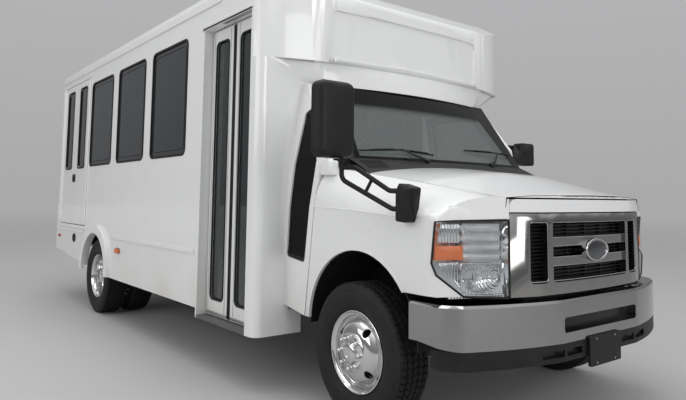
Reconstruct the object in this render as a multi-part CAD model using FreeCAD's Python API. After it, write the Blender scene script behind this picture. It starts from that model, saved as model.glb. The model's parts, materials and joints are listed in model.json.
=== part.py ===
import FreeCAD, Part
import math
import os

os.makedirs("parts", exist_ok=True)
V = FreeCAD.Vector

# Millimetres. Every piece is drawn from the front axle: x forward, y to the left, z up from the ground.
# It is moved forward by front_axle_x when it is written, so that the origin is under the middle of the vehicle.
front_axle_x = 2438
wheelbase = 4013
axle_z = 372

# Passenger body
half_width = 1219
wall = 40
body_rear_x = -5660
wall_rear_x = body_rear_x + wall
cap_joint_x = -1258
skirt_z = 407
tail_skirt_rear_z = 556
tail_skirt_front_z = 450
eave_z = 2594
roof_side_z = 2631
roof_radius = 120
crown_z = 2790
roof_wall = 30
floor_top_z = 790
floor_wall = 30
rear_arch_x = 13 - wheelbase
rear_arch_z = 415
rear_arch_radius = 398

# Entry door on the right, two leaves that swing outwards
entry_front_x = -820
entry_rear_x = -1526
entry_sill_z = 361
entry_head_z = 2431
leaf_recess = 72
leaf_thick = 36
leaf_gap = 12
leaf_stile = 58
leaf_meeting_stile = 80
leaf_kick = 110
leaf_head = 90
leaf_corner = 40
leaf_glass_depth = 10
reveal = 20
reveal_depth = 120
step_count = 3
step_tread = 245
step_wall = 20
pin_radius = 10
pin_inset = 20
pin_length = 40

# Side windows
window_sill_z = 1516
window_top_z = 2442
window_corner = 62
window_width = 750
window_pitch = 911
first_window_x = entry_rear_x - 285
right_window_count = 3
left_window_count = 4
frame_width = 18
frame_proud = 4
glass = 6
glass_inset = 8
seat_clear = 0.3

# Lift door near the rear of the right side, two leaves
lift_rear_x = body_rear_x + 136
lift_width = 1088
lift_front_x = lift_rear_x + lift_width
lift_sill_z = 866
lift_head_z = 2524
door_gap = 8
lift_window_width = 262
lift_window_inset = 147
lift_window_meeting = 125
door_window_corner = 50

# Rear emergency door
rear_door_half = 430
rear_door_sill_z = 800
rear_door_head_z = 2400
rear_window_half = 300
rear_window_sill_z = 1500
rear_window_top_z = 2250
handle_low_z = 1300
handle_high_z = 1420
handle_inset = 70
handle_proud = 40
handle_radius = 9

# Hinges with a barrel outside the wall: lift leaves and rear door
barrel_radius = 7
barrel_leaf = 34
barrel_sheet = 4
barrel_inset = 30

# Front cap over the cab
front_wall_x = -705
corner_radius = 60
cap_bottom_z = 2105
cap_face_x = -560
cap_shoulder_x = -592
cap_top_z = 2900
cap_wall = 30
neck_bottom_z = 1955
neck_half = 885
sign_half = 729
sign_bottom_z = 2145
sign_top_z = 2470
sign_depth = 10
sign_corner = 45
sign_reach = 60
cab_rear_left_x = -1310

# Cab
cab_half = 1003
belt_half = 985
sheet = 14
cab_wall = 36
seam_gap = 8
rocker_z = 492
rocker_rear_z = 528
crease_z = 1142
belt_z = 1410
cab_floor_z = 690
cab_floor_wall = 25
toe_x = -452
toe_top_z = 930
firewall_x = -85
firewall_half = 845
cab_sheet = 20
riser = 16
tunnel_half = 350
tunnel_rear_x = -640
tunnel_top_z = 1110
door_front_x = -405
door_foot_x = -447
door_rear_gap = 22
door_foot_z = 640
door_knee_z = 900
door_corner_z = 1596
door_pin_r = 5
door_pin_length = 60
door_pins_z = (940, 1180)
hood_rear_x = -105
cowl_z = 1398
cowl_drop = 60
glass_base_x = -190
glass_base_z = 1440
glass_base_half = 790
glass_top_x = -560
glass_sweep = 58
glass_top_half = 690
pane_depth = 12

# Hood, fenders and front wheel arches
hood_side_y = 850
hood_corner_x = -60
hood_hinge_x = -150
hood_hinge_y = 560
hood_arm = {"half": 15, "pin_half": 25, "knee": 95, "reach": 180, "drop": 20, "tip": 12}
fender_lower_z = 740
fender_front_x = 380
arch_x = 20
arch_z = 470
arch_radius = 447
arch_lip = 22
arch_lip_proud = 5
liner_wall = 8
liner_inner_y = 556
front_reach = 1000
tall = 2000

# Grille, lamps and bumper
grille_half = 632
grille_bottom_z = 727
grille_top_z = 1206
grille_depth = 60
grille_proud = 4
grille_corner = 42
grille_open_half = 362
grille_open_bottom_z = 787
grille_open_top_z = 1094
grille_open_corner = 20
grille_slot_inner_y = 398
grille_slot_outer_y = 520
grille_bar = 44
grille_bars_z = (890, 990)
grille_bar_set_back = 8
grille_bar_depth = 40
lamp_inner_y = 636
lamp_depth = 90
lamp_top_z = 1103
bumper_top_z = 705
bumper_bottom_z = 496
bumper_sheet = 10
bumper_face_x = 868
bumper_edge = 12
bumper_lip = 90
bumper_lip_drop = 40
bumper_slot_half = 355
bumper_slot_bottom_z = 545
bumper_slot_top_z = 620
bumper_slot_corner = 16
bumper_arm = {"half": 27, "bottom_z": 560, "top_z": 650}
valance_bottom_z = 406
valance_inset = 4
valance_sheet = 12
valance_slots = ((196, 330), (352, 500))
valance_slot_z = (430, 464)
plate_half = 152
plate_bottom_z = 352
plate_top_z = 504
plate_corner = 12
plate_face_x = 885
plate_hole_y = 89
plate_hole_z = 60.5
plate_hole_r = 3.2
plate_foot_half = 60

# Wheels and axles
tyre_radius = 372
tyre_width = 225
bead_radius = 206
rim_flange_radius = 220
rim_width = 178
front_wheel_y = 895
rear_outer_wheel_y = 1090
twin_spacing = 276
kingpin_y = 810
kingpin_r = 16
spindle_r = 25
rear_spindle_r = 38
running_clear = 0.05
hand_hole_count = 4
hand_hole_r = 23
hand_hole_circle = 148
hand_hole_turn = 50
eye_r = 34
eye_bottom_z = 330
eye_top_z = 414
ear_thick = 29
brake_r = 150
beam_half = 35
beam_top_z = 352
beam_bottom_z = 282
spring_y = 397
axle_tube_r = 56
axle_case_r = 170
axle_case_half = 110
leaf_spring = {"inner_y": 500, "outer_y": 590, "reach": 680, "end_z": 560, "middle_z": 462, "thick": 32}

# Frame and drive
rail_outer_y = 432
rail_width = 70
rail_height = 175
rail_wall = 8
rail_front_x = 690
rail_top_z = 665
cross_member = {"width": 60, "height": 90}
cross_places = (-1300, -1800, -2700, -3500)
engine = {"front_x": 520, "rear_x": -430, "half": 290, "bottom_z": 470, "top_z": 1050}
engine_mount = {"rear_x": 120, "front_x": 180, "bottom_z": 540, "top_z": 600}
gearbox = {"rear_x": -1150, "half": 150, "bottom_z": 420, "top_z": 640}
shaft = {"radius": 38, "z": 520, "overlap": 4}
radiator = {"thick": 60, "half": 350, "bottom_z": 500, "top_z": 1130}
pinion_reach = 230
pinion_rise = 30

# Floor structure, wheel boxes, tank and exhaust
wheel_box_half = 460
wheel_box_inner_y = 650
wheel_box_top_z = 905
sill_width = 50
tank = {"inner_y": 480, "outer_y": 900, "bottom_z": 350, "top_z": 640, "corner": 50, "front_gap": 374,
        "axle_gap": 1013, "strap": 60, "strap_low_z": 560, "strap_high_z": 630}
pipe = {"y": -390, "z": 410, "over_y": -290, "over_z": 505, "radius": 32, "bend": 130}
muffler = {"radius": 75, "rear": -2800, "front": -2100}
pipe_hangers = (-1700, -3000, -5300)
pipe_hanger_r = 6


def save(name, *shapes):
    solids = [solid for shape in shapes for solid in shape.Solids]
    moved = Part.makeCompound(solids)
    moved.translate(V(front_axle_x, 0, 0))
    moved.exportStep("parts/" + name + ".step")


def face(path, place):
    # A path is its first point and then the next ones; a pair of points is an arc through the first of them.
    edges = []
    here = path[0]
    for step in path[1:] + [path[0]]:
        if isinstance(step[0], tuple):
            middle, there = step
            edges.append(Part.Arc(place(*here), place(*middle), place(*there)).toShape())
        elif step != here:
            there = step
            edges.append(Part.LineSegment(place(*here), place(*there)).toShape())
        here = there
    return Part.Face(Part.Wire(edges))


def along_x(path, x0, x1):
    return face(path, lambda y, z: V(x0, y, z)).extrude(V(x1 - x0, 0, 0))


def along_y(path, y0, y1):
    return face(path, lambda x, z: V(x, y0, z)).extrude(V(0, y1 - y0, 0))


def along_z(path, z0, z1):
    return face(path, lambda x, y: V(x, y, z0)).extrude(V(0, 0, z1 - z0))


def block(x0, x1, y0, y1, z0, z1):
    low = V(min(x0, x1), min(y0, y1), min(z0, z1))
    return Part.makeBox(abs(x1 - x0), abs(y1 - y0), abs(z1 - z0), low)


along = {"x": V(1, 0, 0), "y": V(0, 1, 0), "z": V(0, 0, 1)}
parallel = 0.99


def round_edges(body, way, radius):
    edges = []
    for edge in body.Edges:
        if isinstance(edge.Curve, Part.Line) and abs(edge.tangentAt(edge.FirstParameter).dot(way)) > parallel:
            edges.append(edge)
    return body.makeFillet(radius, edges)


def soft_block(x0, x1, y0, y1, z0, z1, radius, way):
    return round_edges(block(x0, x1, y0, y1, z0, z1), way, radius)


def rod(start, end, radius):
    way = end.sub(start)
    return Part.makeCylinder(radius, way.Length, start, way)


def bent_rod(points, radius, bend):
    # A round bar along straight runs that are joined by arcs of one bend radius.
    edges = []
    here = points[0]
    for before, corner, after in zip(points, points[1:], points[2:]):
        into = before.sub(corner).normalize()
        out = after.sub(corner).normalize()
        half = math.acos(max(-1, min(1, into.dot(out)))) / 2
        reach = bend / math.tan(half)
        first = corner + into * reach
        last = corner + out * reach
        middle = corner + (into + out).normalize() * (bend / math.sin(half) - bend)
        edges.append(Part.LineSegment(here, first).toShape())
        edges.append(Part.Arc(first, middle, last).toShape())
        here = last
    edges.append(Part.LineSegment(here, points[-1]).toShape())
    section = Part.Wire(Part.Circle(points[0], points[1] - points[0], radius).toShape())
    return Part.Wire(edges).makePipeShell([section], True, False)


def mitred_rod(points, radius):
    # A round bar along straight runs that meet in mitres.
    mitre = 1
    section = Part.Wire(Part.Circle(points[0], points[1] - points[0], radius).toShape())
    return Part.makePolygon(points).makePipeShell([section], True, False, mitre)


def loft(paths, places):
    wires = [face(path, place).OuterWire for path, place in zip(paths, places)]
    return Part.makeLoft(wires, True, True)


def fuse(first, *others):
    return first.fuse(list(others)).removeSplitter()


def mirrored(shape):
    return shape.mirror(V(0, 0, 0), V(0, 1, 0))


def turned(path, x, y):
    # The path is in radius and offset from y; it turns about the line of an axle.
    return face(path, lambda r, w: V(x, y + w, axle_z + r)).revolve(V(x, y, axle_z), V(0, 1, 0), 360)


def flat_sided(path, x, y, sides):
    # Like turned, but with flat sides, one corner of them straight down. The path's radii are those of the corners.
    rings = []
    for i in range(sides + 1):
        turn = 2 * math.pi * (i % sides) / sides
        across, up = math.sin(turn), -math.cos(turn)
        rings.append([V(x + r * across, y + w, axle_z + r * up) for r, w in path])
    faces = []
    for near, far in zip(rings, rings[1:]):
        for j, corner in enumerate(near):
            following = (j + 1) % len(path)
            corners = [corner, near[following], far[following], far[j], corner]
            faces.append(Part.Face(Part.makePolygon(corners)))
    return Part.Solid(Part.Shell(faces))


def both_sides(near, far):
    # The two spans of y, one on each side of the middle, from near to far.
    return [tuple(sorted((side * near, side * far))) for side in (-1, 1)]


# Walls, roof and floor of the passenger body


def body_section(inset, bottom):
    side = half_width - inset
    corner = roof_radius - inset
    bend = corner * math.sqrt(0.5)
    centre_y = half_width - roof_radius
    top = roof_side_z + corner
    return [
        (-side, bottom),
        (-side, roof_side_z),
        ((-centre_y - bend, roof_side_z + bend), (-centre_y, top)),
        ((0, crown_z - inset), (centre_y, top)),
        ((centre_y + bend, roof_side_z + bend), (side, roof_side_z)),
        (side, bottom),
    ]


right_windows = [first_window_x - window_pitch * i for i in range(right_window_count)]
left_windows = [first_window_x - window_pitch * i for i in range(left_window_count)]
wall_inner = half_width - wall
entry_bottom_z = entry_sill_z - step_wall


def window_hole(front_x, y0, y1, shrink=0.0):
    x0 = front_x - window_width + shrink
    x1 = front_x - shrink
    radius = window_corner - shrink
    return soft_block(x0, x1, y0, y1, window_sill_z + shrink, window_top_z - shrink, radius, along["y"])


def rear_arch(y0, y1, radius):
    disc = Part.makeCylinder(radius, y1 - y0, V(rear_arch_x, y0, rear_arch_z), along["y"])
    return disc.fuse(block(rear_arch_x - radius, rear_arch_x + radius, y0, y1, 0, rear_arch_z))


def side_wall(front_path, windows, y0, y1):
    path = [
        (wall_rear_x, eave_z),
        (wall_rear_x, tail_skirt_rear_z),
        (rear_arch_x - rear_arch_radius, tail_skirt_front_z),
        (rear_arch_x, skirt_z),
    ] + front_path
    holes = [window_hole(x, y0, y1) for x in windows]
    return along_y(path, y0, y1).cut(holes + [rear_arch(y0, y1, rear_arch_radius)])


def make_walls():
    front = [
        (entry_rear_x - reveal, skirt_z),
        (entry_rear_x - reveal, entry_bottom_z),
        (entry_rear_x, entry_bottom_z),
        (entry_rear_x, entry_head_z),
        (cap_joint_x, entry_head_z),
        (cap_joint_x, eave_z),
    ]
    outer, inner = -half_width, -wall_inner
    right = side_wall(front, right_windows, outer, inner)
    right = right.cut(block(lift_rear_x, lift_front_x, outer, inner, lift_sill_z, lift_head_z))
    deep = outer + reveal_depth
    jamb = block(entry_rear_x - reveal, entry_rear_x, outer, deep, entry_bottom_z, entry_head_z + reveal)
    head = block(entry_rear_x, cap_joint_x, outer, deep, entry_head_z, entry_head_z + reveal)
    save("wall_right", fuse(right, jamb, head))
    front = [(cab_rear_left_x, skirt_z), (cab_rear_left_x, eave_z)]
    left = side_wall(front, left_windows, wall_inner, half_width)
    corner = block(cab_rear_left_x - wall, cab_rear_left_x, neck_half - wall, wall_inner, skirt_z, cap_bottom_z)
    save("wall_left", fuse(left, corner))
    rear = along_x(body_section(0, tail_skirt_rear_z), body_rear_x, wall_rear_x)
    hole = block(body_rear_x, wall_rear_x, -rear_door_half, rear_door_half, rear_door_sill_z, rear_door_head_z)
    save("wall_rear", rear.cut(hole))


def make_roof():
    outer = along_x(body_section(0, eave_z), wall_rear_x, cap_joint_x)
    inner = along_x(body_section(roof_wall, eave_z), wall_rear_x, cap_joint_x)
    save("roof", outer.cut(inner))


step_rise = (floor_top_z - entry_sill_z) / step_count
well_inner_y = -half_width + step_tread * step_count
deck_front_x = front_wall_x - 2 * wall
deck_left_x = cab_rear_left_x - wall
wheel_box_front_x = rear_arch_x + wheel_box_half
wheel_box_rear_x = rear_arch_x - wheel_box_half
sill_places = (
    entry_rear_x + 106,
    first_window_x - 89,
    -2500,
    -3100,
    wheel_box_front_x + 20,
    wheel_box_rear_x - 20,
    -5050,
    wall_rear_x + 60,
)


def make_floor():
    low = floor_top_z - floor_wall
    deck = along_z([
        (wall_rear_x, -wall_inner),
        (entry_rear_x - reveal, -wall_inner),
        (entry_rear_x - reveal, well_inner_y + step_wall),
        (deck_front_x, well_inner_y + step_wall),
        (deck_front_x, 0),
        (deck_left_x, 0),
        (deck_left_x, wall_inner),
        (wall_rear_x, wall_inner),
    ], low, floor_top_z)
    treads = []
    under = []
    for i in range(step_count):
        y = -half_width + step_tread * i
        z = entry_sill_z + step_rise * i
        treads += [(y, z), (y + step_tread, z)]
        under += [(y + (step_wall if i else 0), z - step_wall), (y + step_tread + step_wall, z - step_wall)]
    top = [(well_inner_y, floor_top_z), (well_inner_y + step_wall, floor_top_z)]
    stairs = along_x(treads + top + under[::-1], entry_rear_x, entry_front_x)
    start = -half_width + reveal_depth
    cheek_path = [(start, floor_top_z)] + [(max(y, start), z) for y, z in under]
    cheek_path += [(well_inner_y + step_wall, floor_top_z)]
    cheeks = [along_x(cheek_path, x, x + reveal) for x in (entry_rear_x - reveal, entry_front_x)]
    boxes = []
    hollows = []
    for side in (-1, 1):
        y0, y1 = sorted((side * wheel_box_inner_y, side * wall_inner))
        boxes.append(block(wheel_box_rear_x, wheel_box_front_x, y0, y1, low, wheel_box_top_z))
        y0, y1 = sorted((side * (wheel_box_inner_y + floor_wall), side * wall_inner))
        hollows.append(block(wheel_box_rear_x + floor_wall, wheel_box_front_x - floor_wall, y0, y1, low,
                             wheel_box_top_z - floor_wall))
    save("floor", fuse(deck, stairs, *cheeks, *boxes).cut(hollows))
    sills = []
    for x in sill_places:
        inner = -well_inner_y - step_wall if x > entry_rear_x - reveal else wall_inner
        sills.append(block(x - sill_width, x, -min(inner, wall_inner), wall_inner, rail_top_z, low))
    save("floor_sills", *sills)


# Window frames and panes of the passenger body


def make_side_windows():
    frames = []
    panes = []
    for side, windows in ((-1, right_windows), (1, left_windows)):
        face_y = side * half_width
        inner_y = side * wall_inner
        out_y = face_y + side * frame_proud
        low, high = sorted((out_y, inner_y))
        glass_low, glass_high = sorted((face_y - side * glass_inset, face_y - side * (glass_inset + glass)))
        for x in windows:
            ring = window_hole(x, low, high, seat_clear)
            frames.append(ring.cut(window_hole(x, low, high, frame_width)))
            panes.append(window_hole(x, glass_low, glass_high, frame_width + seat_clear))
    save("window_frames", *frames)
    save("window_glass", *panes)


# Front cap: the sign panel over the cab, the neck under it and the wall beside the cab


def cap_plan(inset):
    side = half_width - inset
    half = inset / 2
    right = [
        (cap_joint_x, -side),
        (-800, -side),
        ((-755, -1197 + inset), (-725 - half, -1155 + inset)),
        ((-640 - inset, -960 + half), (cap_shoulder_x - inset, -700)),
    ]
    left = [
        ((cap_face_x - inset, 0), (cap_shoulder_x - inset, 700)),
        ((-640 - inset, 960 - half), (-725 - half, 1155 - inset)),
        ((-755, 1197 - inset), (-800, side)),
        (cap_joint_x, side),
    ]
    return right + left


def cap_side(inset, bottom):
    nose = cap_face_x - inset
    return [
        (cap_joint_x, bottom),
        (nose - 45, bottom),
        ((nose - 13, bottom + 13), (nose, bottom + 45)),
        (nose - 12, 2535 - inset),
        ((nose - 26, 2570 - inset), (nose - 60, 2590 - inset)),
        (-880, 2746 - inset),
        ((-1050, crown_z - inset), (cap_joint_x, crown_z + 10 - inset)),
    ]


def cap_volume(inset, bottom):
    body = along_z(cap_plan(inset), bottom, cap_top_z)
    body = body.common(along_x(body_section(inset, bottom), cap_joint_x, 0))
    return body.common(along_y(cap_side(inset, bottom), -half_width, half_width))


# Plans of the neck at its two ends: half width, then where its side, corner, front and nose stand
neck_bottom = {"half": neck_half, "side_x": -745, "corner": (-700, 850), "front": (-640, 770), "nose_x": -545}
neck_top = {"half": half_width - 12, "side_x": -800, "corner": (-735, 1120), "front": (-630, 800),
            "nose_x": -572}


def neck_outline(plan, inset):
    corner_x, corner_y = plan["corner"]
    front_x, front_y = plan["front"]
    side_y = plan["half"] - inset
    right = [
        (cab_rear_left_x, -side_y),
        (plan["side_x"], -side_y),
        (corner_x - inset, -corner_y + inset),
        (front_x - inset, -front_y),
    ]
    left = [
        ((plan["nose_x"] - inset, 0), (front_x - inset, front_y)),
        (corner_x - inset, corner_y - inset),
        (plan["side_x"], side_y),
        (cab_rear_left_x, side_y),
    ]
    return right + left


def neck(inset):
    plans = [neck_outline(neck_bottom, inset), neck_outline(neck_top, inset)]
    return loft(plans, [lambda x, y: V(x, y, neck_bottom_z), lambda x, y: V(x, y, cap_bottom_z)])


def cab_inside(x0, x1):
    low_side = -neck_half + wall / 3
    path = [
        (0, 0),
        (low_side, 0),
        (low_side, rocker_z),
        (-cab_half + cab_wall, rocker_z),
        (-cab_half + cab_wall, crease_z),
        (-belt_half + cab_wall, belt_z),
        (-neck_half + cab_wall, neck_bottom_z),
        (-neck_half + cab_wall, cap_bottom_z),
        (0, cap_bottom_z),
    ]
    return along_x(path, x0, x1)


def make_front_cap():
    shell = cap_volume(0, cap_bottom_z).cut(cap_volume(cap_wall, cap_bottom_z - 1))
    throat = neck(0).cut(neck(cap_wall))
    throat = throat.cut(block(cab_rear_left_x, front_wall_x - wall, -half_width, 0, 0, cap_bottom_z))
    bend = corner_radius * (1 - math.sqrt(0.5))
    plan = [
        (entry_front_x, -half_width),
        (front_wall_x - corner_radius, -half_width),
        ((front_wall_x - bend, -half_width + bend), (front_wall_x, -half_width + corner_radius)),
        (front_wall_x, -neck_half + cap_wall),
        (front_wall_x - wall, -neck_half + cap_wall),
        (front_wall_x - wall, -wall_inner),
        (entry_front_x, -wall_inner),
    ]
    panel = along_z(plan, entry_bottom_z, cap_bottom_z).cut(cab_inside(front_wall_x - wall, front_wall_x))
    doorway = block(cap_joint_x, entry_front_x, -half_width, -half_width + reveal_depth, 0, entry_head_z)
    deep = -half_width + reveal_depth
    jamb = block(entry_front_x, entry_front_x + reveal, -wall_inner, deep, entry_bottom_z, cap_bottom_z + wall)
    head = block(cap_joint_x, entry_front_x + reveal, -wall_inner, deep, entry_head_z, entry_head_z + reveal)
    post = block(entry_front_x, entry_front_x + reveal, -wall_inner, deep, cap_bottom_z, entry_head_z)
    sign = soft_block(cap_face_x - sign_reach, cap_face_x + sign_reach, -sign_half, sign_half, sign_bottom_z,
                      sign_top_z, sign_corner, along["x"])
    recess = sign.cut(cap_volume(sign_depth, cap_bottom_z))
    body = fuse(shell, throat, panel, jamb, head, post).cut(doorway.fuse(recess))
    save("front_cap", body)


# Cab


def clip_section(crease, seam_y, seam_z, crown, inset):
    side = cab_half - inset
    seam_side = seam_y - 0.7 * inset
    seam_top = seam_z - inset
    rise = seam_top - crease
    run = side - seam_side
    bulge = 0.1
    middle = ((side + seam_side) / 2 + bulge * rise, (crease + seam_top) / 2 + bulge * run)
    low = rocker_z - inset
    return [
        (-side + tumble, low),
        (-side, crease),
        ((-middle[0], middle[1]), (-seam_side, seam_top)),
        ((0, crown - inset), (seam_side, seam_top)),
        (middle, (side, crease)),
        (side - tumble, low),
    ]


tumble = 5

# Sections of the hood and fenders: x, crease height, seam half width, seam height, height at the middle
clip_sections = (
    (-500, 1142, 955, 1405, 1455),
    (-60, 1128, 850, 1348, 1400),
    (300, 1112, 765, 1290, 1364),
    (590, 1098, 685, 1240, 1286),
    (840, 1086, 610, 1196, 1226),
)

# Plan of the nose: x, half width, and how far an inset of 1 moves each of them
nose_plan = (
    (450, 1010, 0.2, 1.0),
    (600, 990, 0.5, 1.0),
    (745, 650, 0.9, 0.4),
    (800, 480, 1.0, 0.0),
)
nose_x = 828
clip_rear_x = clip_sections[0][0]


def clip_volume(inset):
    paths = [clip_section(crease, y, z, top, inset) for x, crease, y, z, top in clip_sections]
    places = [lambda y, z, x=x: V(x, y, z) for x, *rest in clip_sections]
    body = loft(paths, places)
    side = [(x - by_x * inset, y - by_y * inset) for x, y, by_x, by_y in nose_plan]
    rear_y = nose_plan[0][1] - inset
    right = [(clip_rear_x, -rear_y)] + [(x, -y) for x, y in side]
    left = [((nose_x - inset, 0), side[-1])] + side[-2::-1] + [(clip_rear_x, rear_y)]
    return body.common(along_z(right + left, 0, tall))


def hood_region(grow, low):
    side = [(x, y + grow) for x, crease, y, z, top in clip_sections[2:]]
    right = [(x, -y) for x, y in side]
    start = (hood_corner_x - grow, -hood_side_y - grow)
    back = ((hood_rear_x - grow, 0), start)
    return along_z([start] + right + side[::-1] + [(start[0], -start[1]), back], low, tall)


hood_hinge_z = cowl_z - cowl_drop + cab_sheet + seat_clear + pin_radius
hood_front_z = grille_top_z + seam_gap


def lamp_region(grow):
    path = [
        (594 - grow, 1097 + grow),
        (572 - grow, 896),
        (655 - grow, grille_bottom_z + 12 - grow),
        (front_reach, grille_bottom_z - 4 - grow),
        (front_reach, lamp_top_z + grow),
    ]
    half = along_y(path, lamp_inner_y - grow, cab_half + 20)
    return half, mirrored(half)


def front_arch(y0, y1, radius):
    disc = Part.makeCylinder(radius, y1 - y0, V(arch_x, y0, arch_z), along["y"])
    return disc.fuse(block(arch_x - radius, arch_x + radius, y0, y1, 0, arch_z))


seam_foot_x = -481
seam_lean = 129


def seam_x(z):
    # The seam between the kerb-side cab panel and the fender leans forward towards the belt.
    return seam_foot_x + (z - rocker_z) * seam_lean / (belt_z - rocker_z)


def hood_arms():
    arms = []
    top = hood_hinge_z - pin_radius
    for y in (-hood_hinge_y, hood_hinge_y):
        pin_half = hood_arm["pin_half"]
        pin_start = V(hood_hinge_x, y - pin_half, hood_hinge_z)
        arms.append(rod(pin_start, pin_start + along["y"] * (2 * pin_half), pin_radius))
        arms.append(along_y([
            (hood_hinge_x, top),
            (hood_hinge_x + hood_arm["knee"], top),
            (hood_hinge_x + hood_arm["reach"], hood_hinge_z - hood_arm["drop"]),
            (hood_hinge_x + hood_arm["reach"], hood_hinge_z - hood_arm["drop"] + hood_arm["tip"]),
            (hood_hinge_x + hood_arm["knee"], hood_hinge_z),
            (hood_hinge_x, hood_hinge_z),
        ], y - hood_arm["half"], y + hood_arm["half"]))
    under = clip_volume(sheet / 2).fuse(block(-300, hood_rear_x + 17, -700, 700, 0, tall))
    return [arm.common(under) for arm in arms]


def fender_cuts():
    wide = cab_half + 50
    beside_grille = grille_half + seat_clear
    behind = along_y([
        (-600, 0),
        (seam_x(0) + seam_gap, 0),
        (seam_x(belt_z) + seam_gap, belt_z),
        (seam_x(belt_z) + seam_gap, tall),
        (-600, tall),
    ], -wide, 0)
    door = along_y([
        (-600, 0),
        (door_foot_x + seam_gap, 0),
        (door_foot_x + seam_gap, door_foot_z),
        (door_front_x + seam_gap, door_knee_z),
        (door_front_x + seam_gap, tall),
        (-600, tall),
    ], 0, wide)
    hood_y = hood_side_y + seam_gap
    return [
        hood_region(seam_gap, hood_front_z - seam_gap),
        block(toe_x - 100, hood_rear_x - seam_gap, -hood_y, hood_y, 0, tall),
        block(clip_rear_x, front_reach, -beside_grille, beside_grille, 0, tall),
        block(600, front_reach, -lamp_inner_y, lamp_inner_y, 0, lamp_top_z),
        block(fender_front_x, front_reach, -wide, wide, 0, fender_lower_z),
        *lamp_region(seat_clear),
        front_arch(-wide, wide, arch_radius),
        behind,
        door,
    ]


def make_front_clip():
    skin = clip_volume(0).cut(clip_volume(sheet))
    hood = skin.common(hood_region(0, hood_front_z))
    save("hood", fuse(hood, *hood_arms()))
    wide = cab_half + 50
    lips = clip_volume(-arch_lip_proud).cut(clip_volume(2))
    lips = lips.common(front_arch(-wide, wide, arch_radius + arch_lip))
    lips = lips.cut(block(clip_rear_x, front_reach, -liner_inner_y, liner_inner_y, 0, tall))
    lips = lips.cut(block(clip_rear_x, front_reach, -wide, wide, 0, rocker_z))
    rest = skin.fuse(lips)
    for cut in fender_cuts():
        rest = rest.cut(cut)
    save("fenders", rest)


def make_lamps_and_grille():
    lamp_skin = clip_volume(0).cut(clip_volume(lamp_depth))
    save("headlamps", *[lamp_skin.common(region) for region in lamp_region(0)])
    frame_skin = clip_volume(-grille_proud).cut(clip_volume(grille_depth))
    bend = grille_corner * (1 - math.sqrt(0.5))
    top, half = grille_top_z, grille_half
    outline = along_x([
        (-half, grille_bottom_z),
        (-half, top - grille_corner),
        ((-half + bend, top - bend), (-half + grille_corner, top)),
        (half - grille_corner, top),
        ((half - bend, top - bend), (half, top - grille_corner)),
        (half, grille_bottom_z),
    ], 600, front_reach)
    frame = frame_skin.common(outline)
    mouth = soft_block(600, front_reach, -grille_open_half, grille_open_half, grille_open_bottom_z,
                       grille_open_top_z, grille_open_corner, along["x"])
    slot = soft_block(600, front_reach, grille_slot_inner_y, grille_slot_outer_y, grille_open_bottom_z,
                      grille_open_top_z, grille_open_corner, along["x"])
    frame = frame.cut([mouth, slot, mirrored(slot)])
    bar_skin = clip_volume(grille_bar_set_back).cut(clip_volume(grille_bar_set_back + grille_bar_depth))
    reach = (grille_open_half + grille_slot_inner_y) / 2
    bars = [bar_skin.common(block(600, front_reach, -reach, reach, z - grille_bar / 2, z + grille_bar / 2))
            for z in grille_bars_z]
    save("grille", fuse(frame, *bars))


def make_liners():
    y1 = cab_half - sheet - tumble - seat_clear
    outer = front_arch(liner_inner_y - liner_wall, y1, arch_radius + liner_wall)
    inner = front_arch(liner_inner_y, y1 + 1, arch_radius)
    liner = outer.cut(inner).cut(block(-600, 600, 0, cab_half, 0, arch_z - 10))
    save("wheel_liners", liner, mirrored(liner))


# Plan of the bumper: place and half width of its bends, and how far an inset of 1 moves each of them
bumper_plan = {
    "end": (425, 1000, 0.0, 1.0),
    "side": (600, 988, 0.0, 1.0),
    "bend": (660, 957, 0.6, 0.8),
    "corner": (707, 905, 0.8, 0.6),
    "sweep": (812, 620, 1.0, 0.3),
    "nose": (bumper_face_x, 355, 1.0, 0.0),
}


def bumper_outline(inset):
    at = {name: (x - by_x * inset, y - by_y * inset) for name, (x, y, by_x, by_y) in bumper_plan.items()}

    def right(name):
        x, y = at[name]
        return x, -y

    return [
        right("end"),
        right("side"),
        (right("bend"), right("corner")),
        (right("sweep"), right("nose")),
        at["nose"],
        (at["sweep"], at["corner"]),
        (at["bend"], at["side"]),
        at["end"],
    ]


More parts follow.
